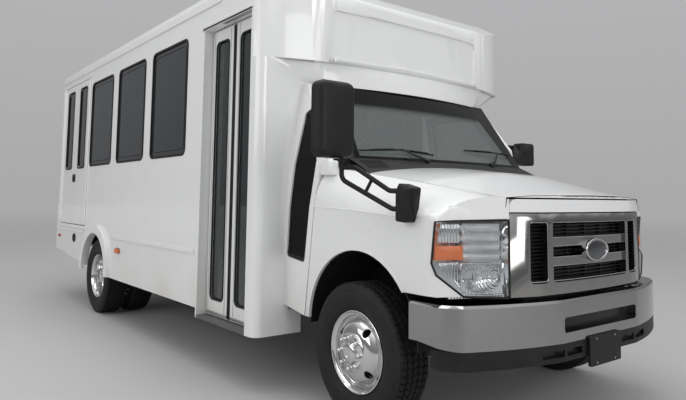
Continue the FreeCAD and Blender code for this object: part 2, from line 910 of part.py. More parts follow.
def make_bumper():
    wide = cab_half + 100
    edge_z = bumper_top_z - bumper_edge
    outer = along_z(bumper_outline(0), bumper_bottom_z, edge_z)
    top = loft([bumper_outline(0), bumper_outline(bumper_edge)],
               [lambda x, y: V(x, y, edge_z), lambda x, y: V(x, y, bumper_top_z)])
    outer = fuse(outer, top)
    outer = outer.cut(along_y([
        (300, bumper_bottom_z - 1),
        (700, bumper_bottom_z - 1),
        (480, bumper_bottom_z + 25),
        (300, bumper_bottom_z + 25),
    ], -wide, wide))
    inner = along_z(bumper_outline(bumper_sheet), 0, bumper_top_z - bumper_edge)
    slot = soft_block(700, front_reach, -bumper_slot_half, bumper_slot_half, bumper_slot_bottom_z,
                      bumper_slot_top_z, bumper_slot_corner, along["x"])
    inner = inner.fuse(along_z(bumper_outline(bumper_lip), bumper_top_z - bumper_lip_drop, bumper_top_z + 10))
    arm, arm_y = bumper_arm, rail_outer_y - rail_width / 2
    arms = [block(rail_front_x, bumper_face_x - bumper_sheet - 8, y - arm["half"], y + arm["half"],
                  arm["bottom_z"], arm["top_z"]) for y in (-arm_y, arm_y)]
    save("front_bumper", fuse(outer.cut(inner.fuse(slot)), *arms))
    lower = along_z(bumper_outline(valance_inset), valance_bottom_z, bumper_bottom_z)
    lower = lower.cut(along_z(bumper_outline(valance_inset + valance_sheet), valance_bottom_z - 1,
                              bumper_bottom_z + 1))
    lower = lower.cut(block(0, 560, -wide, wide, 0, front_reach))
    slots = [block(700, front_reach, y0, y1, *valance_slot_z) for near, far in valance_slots
             for y0, y1 in both_sides(near, far)]
    plate = soft_block(bumper_face_x, plate_face_x, -plate_half, plate_half, plate_bottom_z, plate_top_z,
                       plate_corner, along["x"])
    foot = block(bumper_face_x - 14, plate_face_x - 4, -plate_foot_half, plate_foot_half, valance_bottom_z + 10,
                 valance_bottom_z + 70)
    middle_z = (plate_bottom_z + plate_top_z) / 2
    holes = []
    for y in (-plate_hole_y, plate_hole_y):
        for z in (middle_z - plate_hole_z, middle_z + plate_hole_z):
            holes.append(rod(V(plate_face_x - 40, y, z), V(plate_face_x + 10, y, z), plate_hole_r))
    save("bumper_valance", fuse(lower.cut(slots), foot, plate).cut(holes))


def side_profile(side):
    # The side of the cab in section: outer face up, inner face down.
    rows = ((cab_half - tumble, rocker_z - 10), (cab_half, crease_z), (belt_half, belt_z),
            (neck_half, neck_bottom_z))
    outer = [(side * y, z) for y, z in rows]
    inner = [(side * (y - cab_wall), z) for y, z in reversed(rows)]
    return outer + inner


door_hinge_y = cab_half - door_pin_r
door_hinge_x = door_front_x + seam_gap - seat_clear - door_pin_r
pillar_foot_x = -268
pillar_lean = 384
wide_x = -200


def pillar_x(z):
    return pillar_foot_x - (z - belt_z) * pillar_lean / (neck_bottom_z - belt_z)


def cab_light(path, side, radius, shrink):
    y0, y1 = sorted((side * 700, side * 1100))
    flat = face(path, lambda x, z: V(x, y0, z))
    if shrink:
        flat = Part.Face(flat.OuterWire.makeOffset2D(-shrink))
    return round_edges(flat.extrude(V(0, y1 - y0, 0)), along["y"], radius)


def cab_pane(side, rear_x):
    outer = side_profile(side)[:4]
    path = [(y - side * pane_depth, z) for y, z in outer]
    path += [(y - side * (pane_depth + glass), z) for y, z in reversed(outer)]
    return along_x(path, rear_x, wide_x)


# Windows of the cab in side view, and the radius of their corners
kerb_light = [(-690, 832), (-486, 806), (-396, 1430), (-545, 1778), (-612, 1745)]
kerb_light_corner = 26
driver_light = [(-1230, 1420), (-470, 1420), (-470, 1590), (-700, 1890), (-1230, 1890)]
driver_light_corner = 40

# Door mirror on the left
door_mirror = {"rear_x": -505, "front_x": -435, "inner_y": 1105, "outer_y": 1290, "bottom_z": 1488,
               "top_z": 1672, "corner": 26}
door_mirror_arm = [(-462, 1490), (-415, 1498), (-415, 1556), (-462, 1575)]


def make_cab_sides():
    top = neck_bottom_z
    wide = cab_half + 97
    outline = [
        (front_wall_x, rocker_rear_z),
        (seam_x(rocker_z), rocker_z),
        (seam_x(belt_z), belt_z),
        (pillar_x(belt_z), belt_z + 6),
        (pillar_x(top), top),
        (front_wall_x, top),
    ]
    panel = along_x(side_profile(-1), front_wall_x, wide_x).common(along_y(outline, -wide, 0))
    save("cab_panel_right", panel.cut(cab_light(kerb_light, -1, kerb_light_corner, 0)))
    kerb_pane = cab_pane(-1, front_wall_x).common(cab_light(kerb_light, -1, kerb_light_corner, seat_clear))
    rear = cab_rear_left_x + door_rear_gap
    sill = [
        (rear, rocker_z + seam_gap),
        (door_foot_x, rocker_z + seam_gap),
        (door_foot_x, door_foot_z),
        (door_front_x, door_knee_z),
        (door_front_x, door_corner_z),
        (pillar_x(top) - pane_depth, top - seam_gap),
        (rear, top - seam_gap),
    ]
    door = along_x(side_profile(1), cab_rear_left_x, wide_x).common(along_y(sill, 0, wide))
    feet = [V(door_hinge_x, door_hinge_y, z) for z in door_pins_z]
    hinges = [rod(foot, foot + along["z"] * door_pin_length, door_pin_r) for foot in feet]
    door = fuse(door.cut(cab_light(driver_light, 1, driver_light_corner, 0)), *hinges)
    save("driver_door", door)
    light = cab_light(driver_light, 1, driver_light_corner, seat_clear)
    save("driver_door_glass", cab_pane(1, cab_rear_left_x).common(light))
    mirror = door_mirror
    head = soft_block(mirror["rear_x"], mirror["front_x"], mirror["inner_y"], mirror["outer_y"],
                      mirror["bottom_z"], mirror["top_z"], mirror["corner"], along["x"])
    arm = along_y(door_mirror_arm, belt_half - cab_wall, mirror["inner_y"] + 20)
    save("mirror_left", fuse(head, arm.cut(door)).cut(door))
    return kerb_pane


def windshield_section(half, sweep, x, depth):
    return [
        (x - sweep, -half),
        ((x, 0), (x - sweep, half)),
        (x - sweep - depth, half),
        ((x - depth, 0), (x - sweep - depth, -half)),
    ]


def make_cab_glass(kerb_pane):
    base = windshield_section(glass_base_half, glass_sweep, glass_base_x, glass)
    top = windshield_section(glass_top_half, glass_sweep, glass_top_x, glass)
    places = [lambda x, y: V(x, y, glass_base_z), lambda x, y: V(x, y, neck_bottom_z - 1)]
    save("cab_glass", loft([base, top], places), kerb_pane)


# Windshield posts: how they lean seen from the side, and their width at the base and at the top
post_lean = {"base": (-262, -181), "top": (-700, -625)}
post_width = {"base": (804, 855), "top": (684, 842)}


def make_cab_shell():
    inside = cab_half - cab_wall - tumble
    low = cab_floor_z - cab_floor_wall
    floor = along_z([
        (toe_x, -inside),
        (entry_front_x + reveal, -inside),
        (entry_front_x + reveal, well_inner_y + step_wall),
        (deck_front_x, well_inner_y + step_wall),
        (deck_front_x, 0),
        (deck_left_x, 0),
        (deck_left_x, neck_half - wall),
        (cab_rear_left_x, neck_half - wall),
        (cab_rear_left_x, inside),
        (toe_x, inside),
    ], low, cab_floor_z)
    toe = block(toe_x - cab_sheet, toe_x, -inside, inside, low, toe_top_z)
    feet = [block(toe_x - cab_sheet, toe_x, y0, y1, rocker_z, cab_floor_z)
            for y0, y1 in both_sides(rail_outer_y + seam_gap, inside)]
    ledge = block(toe_x - cab_sheet, firewall_x, -inside, inside, toe_top_z, toe_top_z + cab_sheet)
    base = cowl_z - cowl_drop
    firewall = block(firewall_x - cab_sheet, firewall_x, -firewall_half, firewall_half, toe_top_z, base)
    half = firewall_half - tumble
    tray = along_z([(-300, -half), (-120, -half), (hood_rear_x - 12, 0), (-120, half), (-300, half)], base,
                   base + cab_sheet)
    cover = block(tunnel_rear_x, firewall_x, -tunnel_half, tunnel_half, low, tunnel_top_z)
    hollow = block(tunnel_rear_x + cab_sheet, firewall_x + 1, -tunnel_half + cab_sheet, tunnel_half - cab_sheet,
                   0, tunnel_top_z - cab_sheet)
    risers = [
        block(deck_front_x, deck_front_x + riser, well_inner_y + step_wall, riser, cab_floor_z, floor_top_z),
        block(deck_left_x, deck_front_x, 0, riser, cab_floor_z, floor_top_z),
        block(deck_left_x, deck_left_x + riser, 0, neck_half - wall, cab_floor_z, floor_top_z),
    ]
    top = neck_bottom_z
    lean = along_y([
        (post_lean["base"][0], base),
        (post_lean["base"][1], base),
        (post_lean["top"][1], top),
        (post_lean["top"][0], top),
    ], -900, 900)
    posts = []
    for side in (-1, 1):
        width = along_x([
            (side * post_width["base"][0], base),
            (side * post_width["base"][1], base),
            (side * post_width["top"][1], top),
            (side * post_width["top"][0], top),
        ], -720, -150)
        posts.append(width.common(lean))
    shell = fuse(floor, toe, ledge, firewall, tray, *feet, *risers, *posts)
    shell = shell.cut(hollow).fuse(cover.cut(hollow)).removeSplitter()
    save("cab_shell", shell)


# Dashboard in side view, steering wheel and seats
dash_top_z = cowl_z - cowl_drop - seat_clear
dash_path = [(-160, 1080), (-400, 1060), (-430, 1180), (-395, 1290), (-310, dash_top_z), (-160, dash_top_z)]
dash_half = 780
wheel_centre = V(-560, 460, 1255)
wheel_tilt = V(-0.62, 0, 0.78).normalize()
steering = {"radius": 190, "grip": 15, "hub_r": 55, "hub_back": 22, "hub_front": 14, "spoke": 12,
            "column_r": 28, "column": 230}
bench = {"inner_y": 300, "outer_y": 1150, "depth": 430, "seat_z": 300, "top_z": 420, "corner": 40, "leg_y": 420,
         "leg_half": 20, "leg_front": 40, "leg_rear": 400}
bench_back = [(-420, 1210), (-520, 1820), (-610, 1820), (-500, 1120), (-420, 1120)]
bench_pitch = 750
first_bench_x = entry_rear_x - 374
right_bench_count = 3
left_bench_count = 5
driver_seat = {"x": -835, "inner_y": 220, "outer_y": 700, "rear": 420, "front": 60, "seat_z": 330, "top_z": 450}
driver_back = [(-350, 1060), (-400, 1150), (-480, 1620), (-430, 1720), (-510, 1860), (-590, 1840), (-520, 1060)]
stanchion_r = 17
stanchion_places = ((-1850, -420), (-1850, 420), (entry_front_x - 60, -430))
guard = {"x": entry_rear_x - 60, "outer_y": -1100, "inner_y": -480, "top_z": 1650}


def make_dashboard():
    dash = along_y(dash_path, -dash_half, dash_half)
    over = tunnel_half + 10
    dash = dash.cut(block(-500, -100, -over, over, 0, tunnel_top_z + 5))
    hub_end = wheel_centre - wheel_tilt * steering["hub_back"]
    column = rod(hub_end - wheel_tilt * seat_clear, wheel_centre - wheel_tilt * steering["column"],
                 steering["column_r"])
    save("dashboard", fuse(dash, column))
    ring, grip = steering["radius"], steering["grip"]
    across = V(0, 1, 0)
    section = []
    for i in range(6):
        turn = math.pi * i / 3
        section.append((ring + grip * math.cos(turn), grip * math.sin(turn)))
    rim = face(section, lambda r, w: wheel_centre + across * r + wheel_tilt * w)
    rim = rim.revolve(wheel_centre, wheel_tilt, 360)
    hub = rod(hub_end, wheel_centre + wheel_tilt * steering["hub_front"], steering["hub_r"])
    down = wheel_tilt.cross(across)
    spokes = []
    for way in (across, across * -1, down):
        beside = wheel_tilt.cross(way) * steering["spoke"]
        flat = wheel_tilt * (steering["spoke"] / 2)
        start = wheel_centre + way * (steering["hub_r"] / 2)
        corners = [start - beside - flat, start + beside - flat, start + beside + flat, start - beside + flat]
        spokes.append(Part.Face(Part.makePolygon(corners + corners[:1])).extrude(
            way * (ring - steering["hub_r"] / 2)))
    save("steering_wheel", fuse(rim, hub, *spokes))


def make_seats():
    rows = [(first_bench_x - bench_pitch * i, -1) for i in range(right_bench_count)]
    rows += [(first_bench_x - bench_pitch * i, 1) for i in range(left_bench_count)]
    seats = []
    for x, side in rows:
        y0, y1 = sorted((side * bench["inner_y"], side * bench["outer_y"]))
        cushion = block(x - bench["depth"], x, y0, y1, floor_top_z + bench["seat_z"],
                        floor_top_z + bench["top_z"])
        back = along_y([(x + along, z) for along, z in bench_back], y0, y1)
        leg_y = side * bench["leg_y"]
        legs = block(x - bench["leg_rear"], x - bench["leg_front"], leg_y - bench["leg_half"],
                     leg_y + bench["leg_half"], floor_top_z, floor_top_z + bench["seat_z"])
        seats.append(fuse(cushion, back, legs))
    own = driver_seat
    x = own["x"]
    cushion = block(x - own["rear"], x + own["front"], own["inner_y"], own["outer_y"],
                    cab_floor_z + own["seat_z"], cab_floor_z + own["top_z"])
    back = along_y([(x + along, z) for along, z in driver_back], own["inner_y"] + 10, own["outer_y"] - 10)
    pedestal = block(x - own["rear"] + 40, x, own["inner_y"] + 80, own["outer_y"] - 80, cab_floor_z,
                     cab_floor_z + own["seat_z"])
    seats.append(fuse(cushion, back, pedestal))
    save("seats", *seats)


def make_stanchions():
    bars = []
    for x, y in stanchion_places:
        bars.append(rod(V(x, y, floor_top_z), V(x, y, crown_z - 100), stanchion_r))
    x, far, near, top = guard["x"], guard["outer_y"], guard["inner_y"], guard["top_z"]
    corners = [V(x, far, floor_top_z), V(x, far, top), V(x, near, top), V(x, near, floor_top_z)]
    bars.append(mitred_rod(corners, stanchion_r))
    save("stanchions", *bars)


# Kerb-side mirror: its head, the bends of its two bars, and its foot on the fender in side view
mirror_head = {"rear_x": 55, "front_x": 140, "outer_y": -1345, "inner_y": -1105, "bottom_z": 1410,
               "top_z": 1815, "corner": 46, "edge": 24}
mirror_stem = ((95, -1170, 1440), (95, -1170, 1300), (360, -1052, 1150), (430, -1030, 1150))
mirror_upper = ((95, -1170, 1362), (170, -1140, 1362), (350, -1060, 1240), (430, -1030, 1240))
mirror_brace = ((222, -1114, 1228), (260, -1100, 1300))
mirror_foot = [(395, 1090), (470, 1085), (500, 1160), (515, 1255), (420, 1278), (395, 1240)]
mirror_foot_y = -1062
mirror_bar_r = 13
mirror_bend = 50
mirror_brace_r = 9
mirror_foot_corner = 12


def make_mirrors():
    size = mirror_head
    head = soft_block(size["rear_x"], size["front_x"], size["outer_y"], size["inner_y"], size["bottom_z"],
                      size["top_z"], size["corner"], along["x"])
    front = [edge for edge in head.Edges
             if all(abs(end.X - size["front_x"]) < 1 for end in edge.Vertexes)]
    head = head.makeChamfer(size["edge"], front)
    stem = bent_rod([V(*place) for place in mirror_stem], mirror_bar_r, mirror_bend)
    upper = bent_rod([V(*place) for place in mirror_upper], mirror_bar_r, mirror_bend)
    brace = rod(V(*mirror_brace[0]), V(*mirror_brace[1]), mirror_brace_r)
    foot = along_y(mirror_foot, mirror_foot_y, -cab_half - seat_clear)
    foot = round_edges(foot, along["y"], mirror_foot_corner)
    save("mirror_right", fuse(head, stem, upper, brace, foot))


# Entry leaves, lift leaves and rear door


def leaf_parts(x0, x1, rear_stile, front_stile, outer_y):
    z0, z1 = entry_sill_z + door_gap, entry_head_z - door_gap
    body = block(x0, x1, outer_y, outer_y + leaf_thick, z0, z1)
    light = (x0 + rear_stile, x1 - front_stile, z0 + leaf_kick, z1 - leaf_head)

    def opening(shrink, y0, y1):
        rear, front, low, high = light
        return soft_block(rear + shrink, front - shrink, y0, y1, low + shrink, high - shrink, leaf_corner,
                          along["y"])

    pane_y = outer_y + leaf_glass_depth
    pane = opening(seat_clear, pane_y, pane_y + glass)
    return body.cut(opening(0, outer_y, outer_y + leaf_thick)), pane


def make_entry_door():
    outer_y = -half_width + leaf_recess
    middle = (entry_front_x + entry_rear_x) / 2
    # Name of the leaf, its rear and front ends, and the width of its rear and front stiles
    leaves = (
        ("front", middle + leaf_gap / 2, entry_front_x - leaf_gap, leaf_meeting_stile, leaf_stile),
        ("rear", entry_rear_x + leaf_gap, middle - leaf_gap / 2, leaf_stile, leaf_meeting_stile),
    )
    pins = {"front": entry_front_x - leaf_gap - pin_inset, "rear": entry_rear_x + leaf_gap + pin_inset}
    pin_y = outer_y + leaf_thick / 2
    for name, x0, x1, rear_stile, front_stile in leaves:
        body, pane = leaf_parts(x0, x1, rear_stile, front_stile, outer_y)
        x = pins[name]
        low = rod(V(x, pin_y, entry_sill_z + seat_clear), V(x, pin_y, entry_sill_z + pin_length), pin_radius)
        high = rod(V(x, pin_y, entry_head_z - pin_length), V(x, pin_y, entry_head_z - seat_clear), pin_radius)
        save("entry_leaf_" + name, fuse(body, low, high))
        save("entry_glass_" + name, pane)


def side_hinge(x, face_y, front):
    # A long barrel that lies against the wall, with a leaf on the door.
    z0, z1 = lift_sill_z + barrel_inset, lift_head_z - barrel_inset
    y = face_y - seat_clear - barrel_radius
    inward = -barrel_leaf if front else barrel_leaf
    barrel = rod(V(x, y, z0), V(x, y, z1), barrel_radius)
    leaf = block(x, x + inward, y, y + barrel_sheet, z0, z1)
    foot = block(x + inward, x + inward / 2, y, face_y, z0, z1)
    return fuse(barrel, leaf, foot)


def make_lift_door():
    middle = (lift_front_x + lift_rear_x) / 2
    y0, y1 = -half_width, -wall_inner
    pane_y = y0 + glass_inset
    # Name of the leaf, its rear and front ends, and where its window starts at the front
    leaves = (
        ("front", middle + door_gap / 2, lift_front_x - door_gap, lift_front_x - lift_window_inset),
        ("rear", lift_rear_x + door_gap, middle - door_gap / 2, middle - lift_window_meeting),
    )
    for name, x0, x1, window_x in leaves:
        body = block(x0, x1, y0, y1, lift_sill_z + door_gap, lift_head_z - door_gap)
        hole = soft_block(window_x - lift_window_width, window_x, y0, y1, window_sill_z, window_top_z,
                          door_window_corner, along["y"])
        pane = soft_block(window_x - lift_window_width + seat_clear, window_x - seat_clear, pane_y, pane_y + glass,
                          window_sill_z + seat_clear, window_top_z - seat_clear, door_window_corner, along["y"])
        hinge_x = lift_front_x if name == "front" else lift_rear_x
        save("lift_door_" + name, fuse(body.cut(hole), side_hinge(hinge_x, y0, name == "front")))
        save("lift_glass_" + name, pane)


def make_rear_door():
    half = rear_door_half - door_gap
    x0, x1 = body_rear_x, wall_rear_x
    body = block(x0, x1, -half, half, rear_door_sill_z + door_gap, rear_door_head_z - door_gap)
    hole = soft_block(x0, x1, -rear_window_half, rear_window_half, rear_window_sill_z, rear_window_top_z,
                      door_window_corner, along["x"])
    pane_half = rear_window_half - seat_clear
    pane = soft_block(x0 + glass_inset, x0 + glass_inset + glass, -pane_half, pane_half,
                      rear_window_sill_z + seat_clear, rear_window_top_z - seat_clear, door_window_corner,
                      along["x"])
    out_x, y = x0 - handle_proud, half - handle_inset
    handle = mitred_rod([V(x0, y, handle_low_z), V(out_x, y, handle_low_z), V(out_x, y, handle_high_z),
                         V(x0, y, handle_high_z)], handle_radius)
    z0, z1 = rear_door_sill_z + barrel_inset, rear_door_head_z - barrel_inset
    x = body_rear_x - seat_clear - barrel_radius
    hinge_y = -rear_door_half
    barrel = rod(V(x, hinge_y, z0), V(x, hinge_y, z1), barrel_radius)
    leaf = block(x, x + barrel_sheet, hinge_y, hinge_y + barrel_leaf, z0, z1)
    foot = block(x, body_rear_x, hinge_y + barrel_leaf / 2, hinge_y + barrel_leaf, z0, z1)
    save("rear_door", fuse(body.cut(hole), handle, barrel, leaf, foot))
    save("rear_door_glass", pane)


# Trim, lamps and bumpers of the body
flare_width = 88
flare_proud = 32
flare_foot_z = 412
rub_rail = {"z": 786, "height": 34, "proud": 9, "gap": 60}
gutter = {"below": 4, "above": 14}
marker = {"rear_x": -3345, "front_x": -3238, "bottom_z": 660, "top_z": 702, "proud": 18, "corner": 8}
tail_marker = {"rear_x": -5510, "front_x": -5450, "bottom_z": 700, "top_z": 726, "corner": 6}
tail_lamps_z = (1010, 1150, 1290)
tail_lamp = {"y": 1080, "radius": 58, "proud": 22}
roof_lamps = {"places": (-120, 0, 120), "half": 40, "bottom_z": 2660, "top_z": 2690, "proud": 16, "corner": 8}


def make_trim():
    flares = []
    reach = rear_arch_radius + flare_width
    for y0, y1 in both_sides(half_width, half_width + flare_proud):
        ring = Part.makeCylinder(reach, y1 - y0, V(rear_arch_x, y0, rear_arch_z), along["y"])
        below = block(rear_arch_x - tall, rear_arch_x + tall, y0, y1, -tall, flare_foot_z)
        flares.append(ring.cut(rear_arch(y0, y1, rear_arch_radius)).cut(below))
    save("wheel_flares", *flares)
    rails = []
    low, high = rub_rail["z"], rub_rail["z"] + rub_rail["height"]
    fronts = (entry_rear_x - rub_rail["gap"], cab_rear_left_x - rub_rail["gap"])
    for (y0, y1), front_x in zip(both_sides(half_width, half_width + rub_rail["proud"]), fronts):
        for x0, x1 in ((rear_arch_x + reach, front_x), (wall_rear_x, rear_arch_x - reach)):
            rails.append(block(x0, x1, y0, y1, low, high))
        rails.append(block(wall_rear_x, cap_joint_x, y0, y1, eave_z - gutter["below"], eave_z + gutter["above"]))
    rails.append(block(lift_rear_x - 10, lift_front_x + 10, -half_width - rub_rail["proud"], -half_width,
                       lift_sill_z - 36, lift_sill_z - 2))
    save("side_rails", *rails)
    lamps = []
    for side, (y0, y1) in zip((-1, 1), both_sides(half_width, half_width + marker["proud"])):
        for size in (marker, tail_marker):
            lamps.append(soft_block(size["rear_x"], size["front_x"], y0, y1, size["bottom_z"], size["top_z"],
                                    size["corner"], along["y"]))
        y = side * tail_lamp["y"]
        for z in tail_lamps_z:
            lamps.append(rod(V(body_rear_x, y, z), V(body_rear_x - tail_lamp["proud"], y, z), tail_lamp["radius"]))
    for y in roof_lamps["places"]:
        lamps.append(soft_block(body_rear_x - roof_lamps["proud"], body_rear_x, y - roof_lamps["half"],
                                y + roof_lamps["half"], roof_lamps["bottom_z"], roof_lamps["top_z"],
                                roof_lamps["corner"], along["x"]))
    save("lamps", *lamps)


rear_bumper = {"depth": 100, "half": 1180, "bottom_z": 562, "top_z": 718, "corner": 18}


def make_rear_bumper():
    size = rear_bumper
    save("rear_bumper", soft_block(body_rear_x - size["depth"], body_rear_x, -size["half"], size["half"],
                                   size["bottom_z"], size["top_z"], size["corner"], along["y"]))


# Running gear


def make_frame():
    top = rail_top_z
    pieces = []
    for side in (-1, 1):
        y0, y1 = sorted((side * (rail_outer_y - rail_width), side * rail_outer_y))
        rail = block(wall_rear_x, rail_front_x, y0, y1, top - rail_height, top)
        web = side * (rail_outer_y - rail_wall)
        inner = side * (rail_outer_y - rail_width)
        channel = block(wall_rear_x, rail_front_x, min(web, inner), max(web, inner), top - rail_height + rail_wall,
                        top - rail_wall)
        pieces.append(rail.cut(channel))
    inner = rail_outer_y - rail_wall
    width = cross_member["width"]
    places = (rail_front_x - width, *cross_places, -wheelbase - 487, wall_rear_x + wall)
    for x in places:
        pieces.append(block(x, x + width, -inner, inner, top - cross_member["height"], top - rail_wall))
    save("frame_rails", fuse(*pieces))


pinion_end = V(-wheelbase + pinion_reach, 0, axle_z + pinion_rise)


def make_drive():
    body = block(engine["rear_x"], engine["front_x"], -engine["half"], engine["half"], engine["bottom_z"],
                 engine["top_z"])
    box = block(gearbox["rear_x"], engine["rear_x"], -gearbox["half"], gearbox["half"], gearbox["bottom_z"],
                gearbox["top_z"])
    line = rod(V(gearbox["rear_x"], 0, shaft["z"]), pinion_end + V(shaft["overlap"], 0, 0), shaft["radius"])
    inner = rail_outer_y - rail_wall
    mount = block(engine_mount["rear_x"], engine_mount["front_x"], -inner, inner, engine_mount["bottom_z"],
                  engine_mount["top_z"])
    save("driveline", fuse(body, box, line, mount))
    back = rail_front_x - cross_member["width"] - seat_clear
    save("radiator", block(back - radiator["thick"], back, -radiator["half"], radiator["half"],
                           radiator["bottom_z"], radiator["top_z"]))


ear_gap = 1
knuckle_plate = {"inner": 36, "outer": 52, "half": 45, "bottom_z": 292, "top_z": 452}


def make_front_axle():
    pieces = [block(-beam_half, beam_half, -kingpin_y, kingpin_y, beam_bottom_z, beam_top_z)]
    bores = []
    for y in (-kingpin_y, kingpin_y):
        pieces.append(rod(V(0, y, eye_bottom_z), V(0, y, eye_top_z), eye_r))
        bores.append(rod(V(0, y, 0), V(0, y, eye_top_z + 100), kingpin_r + running_clear))
    for y in (-spring_y, spring_y):
        pieces.append(block(-30, 30, y - 30, y + 30, beam_top_z, rail_top_z - rail_height))
    trim = [block(-beam_half - 1, beam_half + 1, y - eye_r - 6, y + eye_r + 6, 0, eye_bottom_z)
            for y in (-kingpin_y, kingpin_y)]
    save("front_axle", fuse(*pieces).cut(bores + trim))
    low = (eye_bottom_z - ear_gap - ear_thick, eye_bottom_z - ear_gap)
    high = (eye_top_z + ear_gap, eye_top_z + ear_gap + ear_thick)
    plate = knuckle_plate
    for name, side in (("left", 1), ("right", -1)):
        y = side * kingpin_y
        pieces = [rod(V(0, y, low[0] - 4), V(0, y, high[1] + 4), kingpin_r)]
        for z0, z1 in (low, high):
            pieces.append(rod(V(0, y, z0), V(0, y, z1), eye_r))
            pieces.append(block(-eye_r, eye_r, y, y + side * 44, z0, z1))
        pieces.append(block(-plate["half"], plate["half"], y + side * plate["inner"], y + side * plate["outer"],
                            plate["bottom_z"], plate["top_z"]))
        pieces.append(rod(V(0, y + side * 44, axle_z), V(0, side * (front_wheel_y + 70), axle_z), spindle_r))
        pieces.append(rod(V(0, y + side * plate["outer"], axle_z), V(0, y + side * (plate["outer"] + 10), axle_z),
                          brake_r))
        save("knuckle_" + name, fuse(*pieces))


def make_rear_axle():
    reach = rear_outer_wheel_y + 36
    tube_half = 660
    case = [
        (0, -axle_case_r * 0.6),
        (axle_tube_r, -axle_case_r * 0.6),
        (axle_case_r, -axle_case_half / 2),
        (axle_case_r, axle_case_half / 2),
        (axle_tube_r, axle_case_r * 0.6),
        (0, axle_case_r * 0.6),
    ]
    pieces = [
        turned(case, -wheelbase, 0),
        rod(V(-wheelbase, -tube_half, axle_z), V(-wheelbase, tube_half, axle_z), axle_tube_r),
        rod(V(-wheelbase, -reach, axle_z), V(-wheelbase, reach, axle_z), rear_spindle_r),
        rod(V(-wheelbase, 0, axle_z), pinion_end, axle_tube_r + 4),
    ]
    leaf = leaf_spring
    ends_z, middle_z, thick, span = leaf["end_z"], leaf["middle_z"], leaf["thick"], leaf["reach"]
    hanger_x = span - 30
    for side in (-1, 1):
        y0, y1 = sorted((side * leaf["inner_y"], side * leaf["outer_y"]))
        pieces.append(along_y([
            (-wheelbase - span, ends_z),
            (-wheelbase - span / 2, (ends_z + middle_z) / 2 - 20),
            (-wheelbase, middle_z - 40),
            (-wheelbase + span / 2, (ends_z + middle_z) / 2 - 20),
            (-wheelbase + span, ends_z),
            (-wheelbase + span, ends_z + thick),
            (-wheelbase, middle_z + thick),
            (-wheelbase - span, ends_z + thick),
        ], y0, y1))
        y0, y1 = sorted((side * rail_outer_y, side * leaf["outer_y"]))
        for x in (-wheelbase - hanger_x, -wheelbase + hanger_x):
            pieces.append(block(x - 30, x + 30, y0, y1, ends_z, ends_z + 80))
    save("rear_axle", fuse(*pieces))


# The tyre in section: radius and half width. Its flat sides stay clear of the round rim inside them.
tyre_sides = 48
tyre_side = (
    (bead_radius / math.cos(math.pi / tyre_sides), rim_width / 2 - 11),
    (rim_flange_radius + 2, rim_width / 2 - 3),
    (306, tyre_width / 2),
    (352, tyre_width / 2 - 12),
    (tyre_radius, tyre_width / 2 - 36),
)


def tyre():
    return [(r, -w) for r, w in tyre_side] + [(r, w) for r, w in reversed(tyre_side)]


rim_seat = bead_radius - seat_clear
rim_half = rim_width / 2
well_radius = 184
rim_lip = 6
hub_face_r = 96
cap_r = 40
hub_r = 62
front_hub = {"face": 124, "cap": 150, "back": -16, "bore_end": 74}

# Face of the front wheel's disc from the hub to the well, and its back: radius, offset
front_disc_face = [(hub_face_r, 124), (140, 113), (170, 74), (well_radius - 8, 24)]
front_disc_back = [(well_radius - 10, 6), (152, 78), (hub_r + 34, 111)]


def front_wheel():
    bore = spindle_r + running_clear
    outside = [
        (rim_flange_radius - rim_lip, rim_half + 5),
        (rim_flange_radius, rim_half),
        (rim_seat, rim_half - 9),
        (well_radius, 20),
        (rim_seat, 9 - rim_half),
        (rim_flange_radius, -rim_half),
        (rim_seat - 11, -rim_half),
    ]
    hub = [
        (hub_r, 106),
        (hub_r, front_hub["back"]),
        (bore, front_hub["back"]),
        (bore, front_hub["bore_end"]),
        (0, front_hub["bore_end"]),
        (0, front_hub["cap"]),
        (cap_r, front_hub["cap"]),
        (cap_r + 12, front_hub["face"]),
    ]
    return outside + front_disc_back + hub + front_disc_face + [(rim_seat - 11, rim_half - 8)]


twin_meeting = -twin_spacing / 2
twin_hub = {"end": 62, "bore_end": 40, "back": -230, "flange": 14}

# Face of a twin wheel's disc from the well to the hub, out from the middle of its own rim
twin_disc_face = [(well_radius - 10, -6), (160, -78), (128, -118)]
twin_disc_back = [(well_radius - 8, -26), (168, -90), (134, -131)]


def twin_wheels():
    # Both rims and the hub in one section, from the middle of the outer rim; the inner one is its mirror image.
    bore = rear_spindle_r + running_clear

    def other(path):
        return [(r, 2 * twin_meeting - w) for r, w in reversed(path)]

    outer = twin_disc_face[::-1] + [
        (rim_seat - 11, rim_half),
        (rim_flange_radius, rim_half),
        (rim_seat, rim_half - 9),
        (rim_seat, 9 - rim_half),
        (rim_flange_radius, -rim_half),
        (rim_seat - 11, -rim_half),
    ] + twin_disc_back
    flange = twin_meeting + twin_hub["flange"]
    front = [
        (0, twin_hub["bore_end"]),
        (0, twin_hub["end"]),
        (hub_r, twin_hub["end"]),
        (hub_r + 12, twin_meeting + 30),
        (hub_face_r, flange),
    ]
    back = [
        (hub_face_r, 2 * twin_meeting - flange),
        (hub_r + 12, twin_meeting - 22),
        (hub_r + 12, twin_hub["back"]),
        (bore, twin_hub["back"]),
        (bore, twin_hub["bore_end"]),
    ]
    return front + outer + other(outer) + back


def hand_holes(x, y, side, start, length):
    holes = []
    for i in range(hand_hole_count):
        turn = math.radians(hand_hole_turn) + 2 * math.pi * i / hand_hole_count
        at = V(x + hand_hole_circle * math.cos(turn), y + side * start,
               axle_z + hand_hole_circle * math.sin(turn))
        holes.append(Part.makeCylinder(hand_hole_r, length, at, V(0, side, 0)))
    return holes


